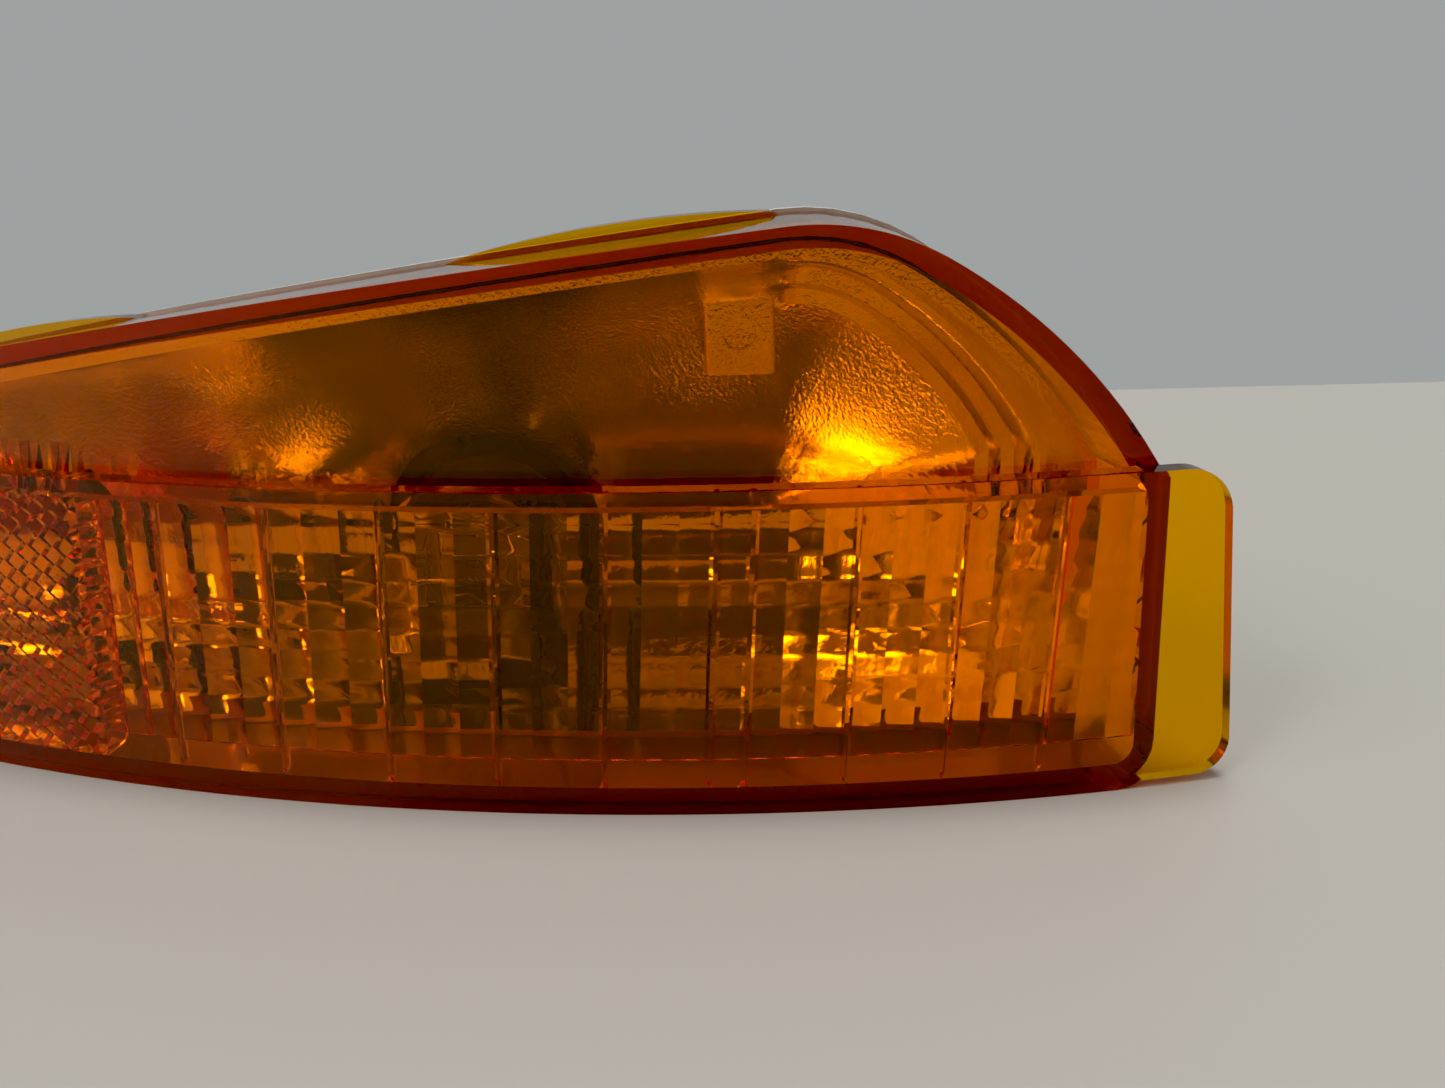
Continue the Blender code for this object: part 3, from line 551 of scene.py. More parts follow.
# Each slot's two tones, its streaks, roughness and bump in millimetres.
METALS = {
    "terminal_brass": ((0.75, 0.58, 0.27), (0.83, 0.68, 0.38), DRAWN, 0.2, 0.01),
    "lead_wire": ((0.55, 0.53, 0.50), (0.66, 0.64, 0.60), DRAWN, 0.25, 0.01),
    "tungsten": ((0.26, 0.26, 0.28), (0.36, 0.36, 0.38), EVEN, 0.35, 0.01),
    "plated_steel": ((0.62, 0.55, 0.33), (0.66, 0.60, 0.50), EVEN, 0.24, 0.008),
}
FINISHES = {"amber_lens": amber_material(), "foam": foam_material(), "bulb_glass": glass_material()}
FINISHES |= {slot: moulded_material(slot, *look) for slot, look in MOULDED.items()}
FINISHES |= {slot: metal_material(slot, *look) for slot, look in METALS.items()}


# ---- lens


def tab_outline():
    root = INNER_END - 2.0
    low = (TAB_LOW_U - TAB_LOW_RADIUS, TAB_LOW_Z + TAB_LOW_RADIUS)
    high = (TAB_TOP_U - TAB_TOP_RADIUS, BAND_TOP - TAB_TOP_RADIUS)
    points = [(root, TAB_LOW_Z)]
    points += arc(low, TAB_LOW_RADIUS, -90.0, 0.0, 8)
    points += arc(high, TAB_TOP_RADIUS, 0.0, 90.0, 10)
    points.append((root, BAND_TOP))
    return points


def ear_outline(start, stop):
    count = 16
    crest = []
    for i in range(count + 1):
        share = i / count
        u = start + (stop - start) * share
        rise = EAR_RISE * math.sin(math.pi * share) ** 0.7 if 0 < i < count else 0.0
        crest.append(top_edge(min(u, TOP_START[0]), -rise))
    root = [top_edge(min(u, TOP_START[0]), 1.5) for u in (stop, start)]
    return crest + root


def lens_outside():
    """The lens without its hollow: thick band, upper face set back, tab and ears."""
    body = tool(loft_shape([ring_at(0.0, depth, stations=40) for depth in (0.0, SKIRT_DEPTH)]))
    ear_front = SKIRT_DEPTH - EAR_DEPTH
    ears = [tool(prism_shape(ear_outline(*ear), ear_front, SKIRT_DEPTH)) for ear in EARS]
    tab = tool(prism_shape(tab_outline(), 0.0, TAB_THICK))
    step = tool(box_shape((-200.0, -5.0, BAND_TOP), (80.0, STEP_DEPTH, 90.0)))
    combine(body, "DIFFERENCE", [step])
    combine(body, "UNION", [tab, *ears])
    bevel(body, EDGE_ROUND, 3, 50.0)
    bend_mesh(body.data, 2.5)
    return body


def slanted(root, z):
    """Where a flute or rib that starts at root on the band's top edge stands at height z."""
    return root - (SLANT + SLANT_GROWTH * root) * (BAND_TOP - 1.0 - z)


def rib_roots():
    """The ribs' places at the band's top: even inboard, opening out towards the outboard end."""
    inboard = [INBOARD_RIB - INBOARD_PITCH * k for k in range(4)]
    outboard = [OUTBOARD_RIB - OUTBOARD_PITCH * k - PITCH_GROWTH * k * k for k in range(6)]
    return sorted(inboard + outboard)


def band_columns():
    """Grid lines down the band, each with its depth: flutes between ribs, and the ribs."""
    ribs = rib_roots()
    ends = [REFLEX_EDGE_U + PARTITION_THICK, *ribs, INNER_END]
    columns = []
    for low, high in zip(ends, ends[1:]):
        gap = high - low
        flutes = 1 if gap < NARROW_GAP else FLUTES_PER_RIB
        for i in range(flutes * FLUTE_STEPS + 1):
            across = i / FLUTE_STEPS
            rise = FLUTE_RISE * (1.0 - (2.0 * (across % 1.0) - 1.0) ** 2)
            columns.append((low + gap * across / flutes, rise))
    half = RIB_WIDTH / 2
    columns = [c for c in columns if all(abs(c[0] - rib) > half + 0.15 for rib in ribs)]
    for rib in ribs:
        columns += [(rib - half - 0.05, 0.0), (rib + half + 0.05, 0.0)]
        columns += [(rib - half, RIB_DEPTH), (rib + half, RIB_DEPTH)]
    wall = REFLEX_EDGE_U + PARTITION_THICK
    columns = [c for c in columns if c[0] > wall + 0.3]
    deep = PARTITION_DEPTH - LENS_WALL
    columns += [(wall - PARTITION_THICK, deep), (wall, deep), (wall + 0.06, 0.0)]
    return sorted(columns)


def band_rows():
    """Grid lines along the band, each with the rise of the pillows at its height."""
    rows = [(LENS_WALL + 0.5, -1.0), (STRIP_TOP - 0.05, -1.0)]
    count = round((BAND_TOP - LENS_WALL - STRIP_TOP) / PILLOW_PITCH * PILLOW_STEPS)
    for i in range(count):
        share = (i / PILLOW_STEPS) % 1.0
        z = STRIP_TOP + PILLOW_PITCH * i / PILLOW_STEPS
        rows.append((z, PILLOW_RISE * (1.0 - (2.0 * share - 1.0) ** 2)))
    rows.append((BAND_TOP - LENS_WALL - 0.08, 0.0))
    return rows


def band_depth(rise, pillow):
    """Depth of the band's inner face, where a negative pillow rise marks the plain strip."""
    if rise >= RIB_DEPTH:
        return LENS_WALL + rise
    return LENS_WALL if pillow < 0.0 else LENS_WALL + rise + pillow


def reflex_points():
    """A field of cube corners: a triangular lattice on three levels."""
    side = REFLEX_PITCH / math.sqrt(3.0)
    level = side / math.sqrt(2.0)
    row_height = side * math.sqrt(3.0) / 2
    rows = int((BAND_TOP - 2.0 * LENS_WALL) / row_height)
    columns = int((REFLEX_EDGE_U - END_CENTRE[0] + END_RADIUS) / side) + rows
    points = []
    for j in range(rows + 1):
        z = LENS_WALL + 0.4 + j * row_height
        for i in range(-rows, columns):
            u = slanted(REFLEX_EDGE_U, z) - 0.3 - (i + j / 2) * side
            if u < slanted(REFLEX_EDGE_U, z) - 0.2:
                points.append((u, z, LENS_WALL + level * ((i - j) % 3)))
    return points


class Field:
    """Points of the hollow's front face, with the lines that its triangles must follow."""

    def __init__(self, loop, depths):
        self.polygon = np.array(loop)
        self.samples = [(u, z, depth) for (u, z), depth in zip(loop, depths)]
        count = len(loop)
        self.edges = [(i, (i + 1) % count) for i in range(count)]

    def inside(self, u, z, margin):
        x, y = self.polygon[:, 0], self.polygon[:, 1]
        x2, y2 = np.roll(x, -1), np.roll(y, -1)
        crosses = ((y > z) != (y2 > z)) & (u < (x2 - x) * (z - y) / (y2 - y + 1e-12) + x)
        if crosses.sum() % 2 == 0:
            return False
        dx, dy = x2 - x, y2 - y
        share = np.clip(((u - x) * dx + (z - y) * dy) / (dx * dx + dy * dy), 0.0, 1.0)
        return np.hypot(x + share * dx - u, y + share * dy - z).min() > margin

    def add(self, u, z, depth, margin):
        """The new point's number, or None where it falls outside the loop."""
        if not self.inside(u, z, margin):
            return None
        self.samples.append((u, z, depth))
        return len(self.samples) - 1

    def add_grid(self, lines, margin):
        """Adds rows of points, joined to their neighbours along both ways."""
        numbers = [[self.add(*point, margin) for point in line] for line in lines]
        for line in numbers:
            self.join(line, line[1:])
        for near, far in zip(numbers, numbers[1:]):
            self.join(near, far)

    def join(self, starts, stops):
        for start, stop in zip(starts, stops):
            if start is not None and stop is not None:
                self.edges.append((start, stop))


def lens_field():
    loop = [(u, z) for u, z, _ in outline(LENS_WALL, stations=150, fine=6)]
    shelf = BAND_TOP - LENS_WALL
    upper = STEP_DEPTH + LENS_WALL
    field = Field(loop, [upper if z > shelf - 0.04 else LENS_WALL for _, z in loop])
    band = [
        [(slanted(root, z), z, band_depth(rise, pillow)) for z, pillow in band_rows()]
        for root, rise in band_columns()
    ]
    field.add_grid(band, 0.12)
    for u, z, depth in reflex_points():
        field.add(u, z, depth, 0.25)
    count = int((INNER_END - END_CENTRE[0] + END_RADIUS) / 1.5)
    along = [INNER_END - 1.5 * i for i in range(count)]
    field.add_grid([[(u, z, upper) for u in along] for z in (shelf, 40.0, 45.0, 50.0, 55.0)], 0.3)
    field.add_grid([[(u, shelf - 0.05, LENS_WALL) for u in along]], 0.02)
    return field


def lens_hollow():
    """The space inside the lens, whose front carries the optics."""
    field = lens_field()
    places = [Vector((u, z)) for u, z, _ in field.samples]
    verts, _, faces, origin, _, _ = delaunay_2d_cdt(places, field.edges, [], 1, 1e-5)
    depths = [field.samples[found[0]][2] if found else LENS_WALL for found in origin]
    back = SKIRT_DEPTH + 3.0

    def build(work):
        front = [work.verts.new(bent(v.x, depth, v.y) * MM) for v, depth in zip(verts, depths)]
        for face in faces:
            work.faces.new([front[i] for i in face])
        flat = dict(zip(front, verts))
        rim = [e for e in work.edges if len(e.link_faces) == 1]
        rear = {}
        for v in {v for edge in rim for v in edge.verts}:
            rear[v] = work.verts.new(bent(flat[v].x, back, flat[v].y) * MM)
        for edge in rim:
            first, second = edge.verts
            work.faces.new((first, second, rear[second], rear[first]))
        open_edges = [e for e in work.edges if len(e.link_faces) == 1]
        bmesh.ops.holes_fill(work, edges=open_edges, sides=0)

    return tool(build)


def make_lens():
    lens = lens_outside()
    combine(lens, "DIFFERENCE", [lens_hollow()])
    finish_piece(lens, "lens", "moulding", "root", "amber_lens", 14.0)


# ---- housing

FLANGE_INSET = 0.6
FLANGE_THICK = 2.5
TONGUE_THICK = 1.6
TONGUE_FRONT = 15.0
HOUSING_WALL = 2.2
MARKER_DEPTH = 13.0
MAIN_DEPTH = 29.5
END_DEPTH_SHARE = 0.55
FULL_FLOOR = 2.6
LEAN_CROWN = 1.35
SPINE_END_Z = 19.0
SPINE_MAIN_Z = 22.0
BOWL_STEPS = 22

LOCK_ANGLE = 30.0
LUG_COUNT = 3
LUG_WIDTH = 5.0
LUG_THICK = 2.2
LUG_ROOM = 0.5
SEAT_FLOOR = 2.5
NOTCH_INSET = 0.1
GUSSET_THICK = 1.4
GUSSET_TOP = -3.1
GUSSET_ANGLES = (180.0, 225.0, 315.0, 360.0)

STUD_RADIUS = 2.5
STUD_COLLAR_RADIUS = 3.8
STUD_BURIED = 12.0
STUD_PROUD = 18.0
STUD_COLLAR_TOP = 8.0
THREAD_PITCH = 0.8
THREAD_DEPTH = 0.42
BOSS_RADIUS = 7.0
BOSS_LENGTH = 26.0
INNER_STUD_FACE_Y = 58.0
PAD_WIDTH = 8.6
PAD_HEIGHT = 10.6
PAD_FRONT_Y = 31.0
VENT_TUBE_RADIUS = 3.0
VENT_TUBE_LENGTH = 14.0
VENT_BORE = 1.6
VENT_CAP_RADIUS = 4.7
VENT_END_Y = 58.0
PIN_U = 34.0
PIN_Z = 20.0
PIN_RADIUS = 3.0
PIN_LENGTH = 18.0


def joint_place(name):
    """The place of a joint: local Z along its axis, its origin on the joint."""
    joint = next(j for j in frame["joints"] if j["name"] == name)
    x, y, _ = joint["axis"]
    return matrix_along(Vector(joint["pos_m"]) / MM, math.atan2(x, y))


MAIN_PLACE = joint_place("main_socket_twist")
MARKER_PLACE = joint_place("marker_socket_twist")
INNER_STUD_PLACE = joint_place("inboard_nut_spin")
OUTER_STUD_PLACE = joint_place("outboard_nut_spin")
VENT_LOW, VENT_HIGH = [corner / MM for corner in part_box("vent_foam")]
VENT_PLACE = matrix_along(
    ((VENT_LOW.x + VENT_HIGH.x) / 2, FRONT_Y + VENT_END_Y, (VENT_LOW.z + VENT_HIGH.z) / 2)
)
PIN_PLACE = matrix_along((bent(PIN_U, 40.0, PIN_Z).x, FRONT_Y + VENT_END_Y, PIN_Z))


def ease(value):
    value = max(0.0, min(1.0, value))
    return value * value * (3.0 - 2.0 * value)


def chamber_depth(u):
    inboard = 1.0 - (1.0 - END_DEPTH_SHARE) * ease((u + 2.0) / 45.0)
    return MARKER_DEPTH + (MAIN_DEPTH - MARKER_DEPTH) * ease((u + 88.0) / 38.0) * inboard


def spine_height(u):
    along = (u - END_CENTRE[0]) / (TOP_START[0] - END_CENTRE[0])
    return SPINE_END_Z + (SPINE_MAIN_Z - SPINE_END_Z) * along


# Ledges round the top of the reflector: the share of the way in where each one ends.
LEDGES = (0.955, 0.875, 0.80)


def ledged(share):
    """The share whose depth a ledged bowl has at share: flat ledges with steep walls."""
    starts = (1.0, *LEDGES)
    for start, stop in zip(starts, LEDGES):
        if share >= stop:
            fall = (start - share) / (start - stop)
            return start - (start - stop) * ease(fall / 0.35)
    return share


def bowl_ring(share, inset, start, ledge=0.0):
    points = []
    for u, z, spine in outline(inset):
        core_z = spine_height(spine)
        du = u - spine
        dz = z - core_z
        lift = 0.5 + 0.5 * dz / math.hypot(du, dz)
        power = FULL_FLOOR + (LEAN_CROWN - FULL_FLOOR) * lift
        crown = ledge * ease(dz / 12.0) * ease((u - 6.0) / 6.0)
        depth_share = share + (ledged(share) - share) * crown
        fall = (1.0 - depth_share**power) ** (1.0 / power)
        flat_u = spine + du * share
        points.append((flat_u, start + chamber_depth(flat_u) * fall, core_z + dz * share))
    return points


def bowl_shares():
    return [math.cos(math.pi / 2 * i / BOWL_STEPS) for i in range(BOWL_STEPS)] + [0.0]


def ledge_shares():
    """The bowl's shares, with closer ones where the ledges are."""
    close = [1.0 - (1.0 - LEDGES[-1]) * i / 24 for i in range(25)]
    return close + [share for share in bowl_shares() if share < LEDGES[-1] - 0.01]


def housing_shell():
    """The moulding's wall, flange and tongue, metallised all over its front."""
    flange_front = SKIRT_DEPTH + 2.0 * GAP + SEAL_THICK
    flange_back = flange_front + FLANGE_THICK
    tongue = LENS_WALL + GAP
    inner = tongue + TONGUE_THICK
    outer = inner - HOUSING_WALL
    bowl_start = flange_back - HOUSING_WALL

    rings = [bowl_ring(share, outer, flange_back) for share in reversed(bowl_shares())]
    rings.append(ring_at(FLANGE_INSET, flange_back))
    rings.append(ring_at(FLANGE_INSET, flange_front))
    metal_from = len(rings)
    rings += [
        ring_at(tongue, flange_front),
        ring_at(tongue, TONGUE_FRONT),
        ring_at(inner, TONGUE_FRONT),
    ]
    rings += [bowl_ring(share, inner, bowl_start, ledge=1.0) for share in ledge_shares()]

    def build(work):
        rows, faces = skin(work, [[tuple(bent(*p)) for p in points] for points in rings])
        for face in faces[metal_from * len(rows[0]):]:
            face.material_index = 1
        bmesh.ops.remove_doubles(work, verts=work.verts, dist=WELD)

    plug_inset = (inner + outer) / 2
    plug_rings = [bowl_ring(share, plug_inset, flange_back - HOUSING_WALL / 2) for share in bowl_shares()]
    plug = tool(loft_shape(plug_rings, tip=True))
    bend_mesh(plug.data, 5.0)
    materials = (FINISHES["housing_plastic"], metallised_material())
    return add_object("housing_shell", mesh_from(build), materials), plug


def keyhole(bore, relief):
    """The outline of a seat's hole: a round bore with a notch for each lug."""
    notch = relief - NOTCH_INSET
    half = LUG_WIDTH / 2 + LUG_ROOM
    notch_half = math.degrees(math.asin(half / notch))
    bore_half = math.degrees(math.asin(half / bore))
    pitch = 360.0 / LUG_COUNT
    points = []
    for i in range(LUG_COUNT):
        middle = LOCK_ANGLE + pitch * i
        points += arc((0.0, 0.0), notch, middle - notch_half, middle + notch_half, 4)
        points += arc((0.0, 0.0), bore, middle + bore_half, middle + pitch - bore_half, 18)
    return points


def boss_profile(radius, low, edge=0.6):
    """Half the section of a round boss, with its edge bevelled."""
    return ((0.0, low), (radius, low), (radius, -edge), (radius - edge, 0.0), (0.0, 0.0))


def seat_tools(place, bore, relief, collar, reach):
    """What a twist-lock seat adds to the housing, and what it cuts from it."""
    adds = [placed(turned_shape(boss_profile(collar, -reach)), place)]
    root = collar - 1.0
    foot = -reach - 1.3
    gusset = [(root, GUSSET_TOP), (collar + 1.5, GUSSET_TOP), (collar + 8.0, foot), (root, foot)]
    for angle in GUSSET_ANGLES:
        fin = prism_shape(gusset, -GUSSET_THICK / 2, GUSSET_THICK / 2)
        adds.append(placed(fin, place @ turned(angle)))
    cuts = [
        placed(rod_shape(relief, -reach - 5.0, -SEAT_FLOOR, sides=72), place),
        placed(upright_shape(keyhole(bore, relief), -SEAT_FLOOR - 2.0, 5.0), place),
    ]
    return adds, cuts


def reflector_pad():
    """The square pad inside the reflector, with a sunk mark in its face."""
    low_z = PAD_FRONT_Y - INNER_STUD_FACE_Y
    half_x, half_y = PAD_WIDTH / 2, PAD_HEIGHT / 2
    pad = placed(box_shape((-half_x, -half_y, low_z), (half_x, half_y, -8.0)), INNER_STUD_PLACE)
    bevel(pad, 0.7, segments=3)
    mark = turned_shape(((0.0, low_z - 1.0), (2.3, low_z - 1.0), (1.9, low_z + 0.5), (0.0, low_z + 0.6)), 32)
    combine(pad, "DIFFERENCE", [placed(mark, INNER_STUD_PLACE)])
    for face in pad.data.polygons:
        face.material_index = 1
    return pad


def make_housing():
    housing, plug = housing_shell()
    adds = []
    cuts = []
    for place, socket in ((MAIN_PLACE, MAIN_SOCKET), (MARKER_PLACE, MARKER_SOCKET)):
        more, holes = seat_tools(place, *socket.seat)
        adds += more
        cuts += holes
    boss = boss_profile(BOSS_RADIUS, -BOSS_LENGTH)
    tube = boss_profile(VENT_TUBE_RADIUS, -VENT_TUBE_LENGTH, 0.3)
    pin = (
        (0.0, -PIN_LENGTH), (PIN_RADIUS, -PIN_LENGTH), (PIN_RADIUS * 0.65, -1.0), (PIN_RADIUS * 0.35, 0.0),
        (0.0, 0.0),
    )
    adds += [placed(turned_shape(boss), INNER_STUD_PLACE), placed(turned_shape(boss), OUTER_STUD_PLACE)]
    adds += [placed(turned_shape(tube, 32), VENT_PLACE), placed(turned_shape(pin, 32), PIN_PLACE)]
    for piece in adds:
        combine(piece, "DIFFERENCE", [plug], keep=True)
    bpy.data.objects.remove(plug, do_unlink=True)
    combine(housing, "UNION", adds + [reflector_pad()])

    cuts.append(placed(rod_shape(VENT_BORE, -30.0, 2.0, sides=24), VENT_PLACE))
    for place in (INNER_STUD_PLACE, OUTER_STUD_PLACE):
        shank = STUD_RADIUS + GAP
        collar = STUD_COLLAR_RADIUS + GAP
        buried = STUD_BURIED + GAP
        cuts.append(placed(rod_shape(shank, -buried + 1.0, 2.0), place))
        cuts.append(placed(rod_shape(collar, -buried, -STUD_COLLAR_TOP), place))
    combine(housing, "DIFFERENCE", cuts)
    stand_in(housing, "housing", "shell", "root", 35.0)


# ---- bulb sockets

GASKET_THICK = 1.2
# Each seat's sizes are the radii of its bore, relief and collar, and the collar's reach.
MAIN_SOCKET = SimpleNamespace(
    seat=(12.6, 15.2, 17.6, 27.0), barrel=12.1, barrel_length=10.5, lug_reach=14.7,
    flange=16.2, flange_thick=2.4, grip=13.2, grip_length=4.0, grip_ribs=28,
    shroud=(21.0, 15.0), shroud_length=13.0, shroud_wall=1.6, plug_depth=12.0,
    cup=(19.6, 12.2), cup_bottom=2.0,
    blade=(2.8, 0.8), blades=((-5.0, -5.0), (5.0, -5.0), (0.0, 5.0)),
)
MARKER_SOCKET = SimpleNamespace(
    seat=(9.3, 11.2, 13.4, 12.0), barrel=8.8, barrel_length=7.0, lug_reach=10.8,
    flange=12.4, flange_thick=2.0, grip=9.6, grip_length=3.0, grip_ribs=20,
    shroud=(15.0, 11.0), shroud_length=11.0, shroud_wall=1.5, plug_depth=10.0,
    cup=(11.6, 8.4), cup_bottom=0.0,
    blade=(0.7, 2.2), blades=((-4.6, 0.0), (4.6, 0.0)),
)


def socket_heights(size):
    """Heights of a socket behind the housing's floor: flange, grip and shroud."""
    flange_low = GASKET_THICK + 2.0 * GAP
    flange_high = flange_low + size.flange_thick
    grip_high = flange_high + size.grip_length
    return flange_low, flange_high, grip_high, grip_high + size.shroud_length


def make_socket(name, place, size, body):
    """A twist-lock socket: barrel with lugs, flange, ribbed grip and connector shroud."""
    flange_low, flange_high, grip_high, shroud_high = socket_heights(size)
    barrel, flange, grip = size.barrel, size.flange, size.grip
    front = -size.barrel_length
    socket = placed(turned_shape((
        (0.0, grip_high), (grip - 1.0, grip_high), (grip - 0.3, grip_high - 0.3), (grip, grip_high - 1.0),
        (grip, flange_high + 0.3), (grip + 0.3, flange_high), (flange - 0.4, flange_high),
        (flange, flange_high - 0.4), (flange, flange_low + 0.4), (flange - 0.4, flange_low),
        (barrel, flange_low), (barrel, front + 0.8), (barrel - 0.8, front), (0.0, front),
    ), 96), place)
    half_x, half_y = (side / 2 for side in size.shroud)
    shroud = centred_box(half_x, half_y, grip_high - 2.0, shroud_high, 1.6)
    rim = centred_box(half_x + 0.7, half_y + 0.7, shroud_high - 2.2, shroud_high - 0.8, 1.8)
    latch = box_shape((-2.2, -half_y - 1.5, grip_high + 3.0), (2.2, -half_y + 0.5, grip_high + 6.5))
    bar = box_shape((-flange + 1.0, -1.2, flange_high - 0.5), (flange - 1.0, 1.2, grip_high))
    adds = [placed(shape, place) for shape in (shroud, rim, latch, bar)]
    rib = box_shape((grip - 0.6, -0.45, flange_high - 0.3), (grip + 0.45, 0.45, grip_high - 0.9))
    for i in range(size.grip_ribs):
        adds.append(placed(rib, place @ turned(360.0 * (i + 0.5) / size.grip_ribs)))
    lug_high = -SEAT_FLOOR - GAP
    lug_low = lug_high - LUG_THICK
    lug = box_shape((barrel - 2.0, -LUG_WIDTH / 2, lug_low), (size.lug_reach, LUG_WIDTH / 2, lug_high))
    for i in range(LUG_COUNT):
        adds.append(bevel(placed(lug, place @ turned(360.0 * i / LUG_COUNT)), 0.35))
    combine(socket, "UNION", adds)

    wall = size.shroud_wall
    plug_low = shroud_high - size.plug_depth
    cup_x, cup_y = (side / 2 for side in size.cup)
    cuts = [
        placed(centred_box(half_x - wall, half_y - wall, plug_low, shroud_high + 1.0, 0.8), place),
        placed(centred_box(cup_x, cup_y, front - 1.0, size.cup_bottom, 0.8), place),
    ]
    slot_x, slot_y = (side / 2 + GAP for side in size.blade)
    for x, y in size.blades:
        slot = box_shape((x - slot_x, y - slot_y, -2.0), (x + slot_x, y + slot_y, shroud_high))
        cuts.append(placed(slot, place))
    combine(socket, "DIFFERENCE", cuts)
    finish_piece(socket, name, "moulding", body, "socket_plastic")


def make_gasket(name, place, size, body):
    """The rubber ring between flange and seat, with two raised sealing lines."""
    inner, outer = size.seat[0] + 0.4, size.flange - 0.6
    low, high = GAP, GAP + GASKET_THICK
    width = outer - inner
    profile = [(inner, low + 0.3), (inner, high - 0.3)]
    for i in range(17):
        share = i / 16
        ripple = 0.15 * (1.0 - math.cos(4.0 * math.pi * share))
        profile.append((inner + width * share, high - 0.3 + ripple))
    profile += [(outer, low + 0.3), (outer - 0.3, low), (inner + 0.3, low)]
    ring = placed(turned_shape(profile, 80), place)
    finish_piece(ring, name, "ring", body, "rubber")


def make_terminals(names, place, size, body):
    """Flat blades with tapered ends and a small eye, one for each contact."""
    low = -size.barrel_length + 2.0
    high = socket_heights(size)[3] - 2.5
    wide, thin = max(size.blade) / 2, min(size.blade) / 2
    flat_x = size.blade[0] > size.blade[1]
    tip = wide * 0.55
    edge = [(-wide, low), (wide, low), (wide, high - 1.6), (tip, high), (-tip, high), (-wide, high - 1.6)]
    for name, (x, y) in zip(names, size.blades):
        rings = [
            [(x + w, y + side, z) if flat_x else (x + side, y + w, z) for w, z in edge]
            for side in (-thin, thin)
        ]
        blade = placed(loft_shape(rings), place)
        across = Matrix.Translation(Vector((x, y, high - 3.6)) * MM) @ turned(90.0, "X" if flat_x else "Y")
        eye = placed(rod_shape(0.45, -2.0, 2.0, sides=24), place @ across)
        combine(blade, "DIFFERENCE", [eye])
        bevel(blade, 0.1, 1)
        finish_piece(blade, name, "blade", body, "terminal_brass")


# ---- bulbs

MAIN_BULB = SimpleNamespace(radius=10.0, neck=6.4, neck_end=-15.0, base=-13.6, tip=-42.5, wall=0.9)
MARKER_BULB = SimpleNamespace(radius=5.0, neck=3.7, neck_end=-8.0, base=-1.0, tip=-25.0, wall=0.6)
MAIN_BASE = (8.6, 4.2, -13.2, 1.6)
MAIN_BASE_LIP = (9.3, 5.4, -11.0)
TURN_FILAMENT = (3.9, -2.4, -31.5, 6.2, 0.6, 0.4)
PARK_FILAMENT = (3.2, 2.4, -27.5, 4.8, 0.45, 0.4)
MARKER_FILAMENT = (2.2, 0.0, -17.8, 3.2, 0.35, 0.25)
COIL_WIRE = 0.11
COIL_PITCH = 0.42


def bulb_profile(size, inset=0.0, base=None):
    radius = size.radius - inset
    neck = size.neck - inset
    tip = size.tip + inset
    shoulder = size.neck_end - (radius - neck) * 1.3
    top = size.base if base is None else base
    middle = (size.neck_end + shoulder) / 2
    points = [(0.0, top), (neck - 0.6, top), (neck, top - 0.6), (neck, size.neck_end)]
    points += [((neck + radius) / 2, middle), (radius, shoulder)]
    points += arc((0.0, tip + radius), radius, 0.0, -90.0, 14)
    return points[:-1] + [(0.0, tip)]


def make_bulb_glass(name, place, size, body):
    """A blown envelope, closed by a flat pressed stem that grips the wires."""
    glass = placed(turned_shape(bulb_profile(size), 72), place)
    bottom = size.base - 2.0
    hollow = placed(turned_shape(bulb_profile(size, size.wall, bottom), 72), place)
    combine(glass, "DIFFERENCE", [hollow])
    neck = size.neck * 0.62
    stem = placed(centred_box(neck, 1.5, bottom - 4.0, bottom + 1.0, 1.2), place)
    combine(glass, "UNION", [bevel(stem, 0.5, 2)])
    finish_piece(glass, name, "envelope", body, "bulb_glass", 40.0)


def make_filament(name, leads, place, size, base, body):
    """A coiled filament between two bent supports that rise from the stem."""
    spread, y, height, length, radius, lead_radius = size
    turns = int(length / COIL_PITCH)
    count = turns * 12
    middle = radius - COIL_WIRE
    path = []
    for i in range(count + 1):
        angle = 2.0 * math.pi * turns * i / count
        along = -length / 2 + length * i / count
        path.append((along, y + middle * math.cos(angle), height + middle * math.sin(angle)))
    coil = placed(tube_along(path, COIL_WIRE, 6), place)
    finish_piece(coil, name, "coil", body, "tungsten", 60.0)
    for lead_name, side in zip(leads, (-1.0, 1.0)):
        foot = base - 4.5
        points = [
            (side * (length / 2 - 0.3), y, height - 0.1),
            (side * (spread - 0.3), y, height - 0.2),
            (side * spread, y, height + 0.5),
            (side * spread, y, height + 3.0),
            (side * (spread - 0.1), y * 0.9, (height + foot) / 2),
            (side * (spread * 0.85), y * 0.45, foot),
            (side * (spread * 0.8), y * 0.3, base - 1.0),
        ]
        wire = placed(tube_along(points, lead_radius * 0.75, 10), place)
        finish_piece(wire, lead_name, "wire", body, "lead_wire", 60.0)


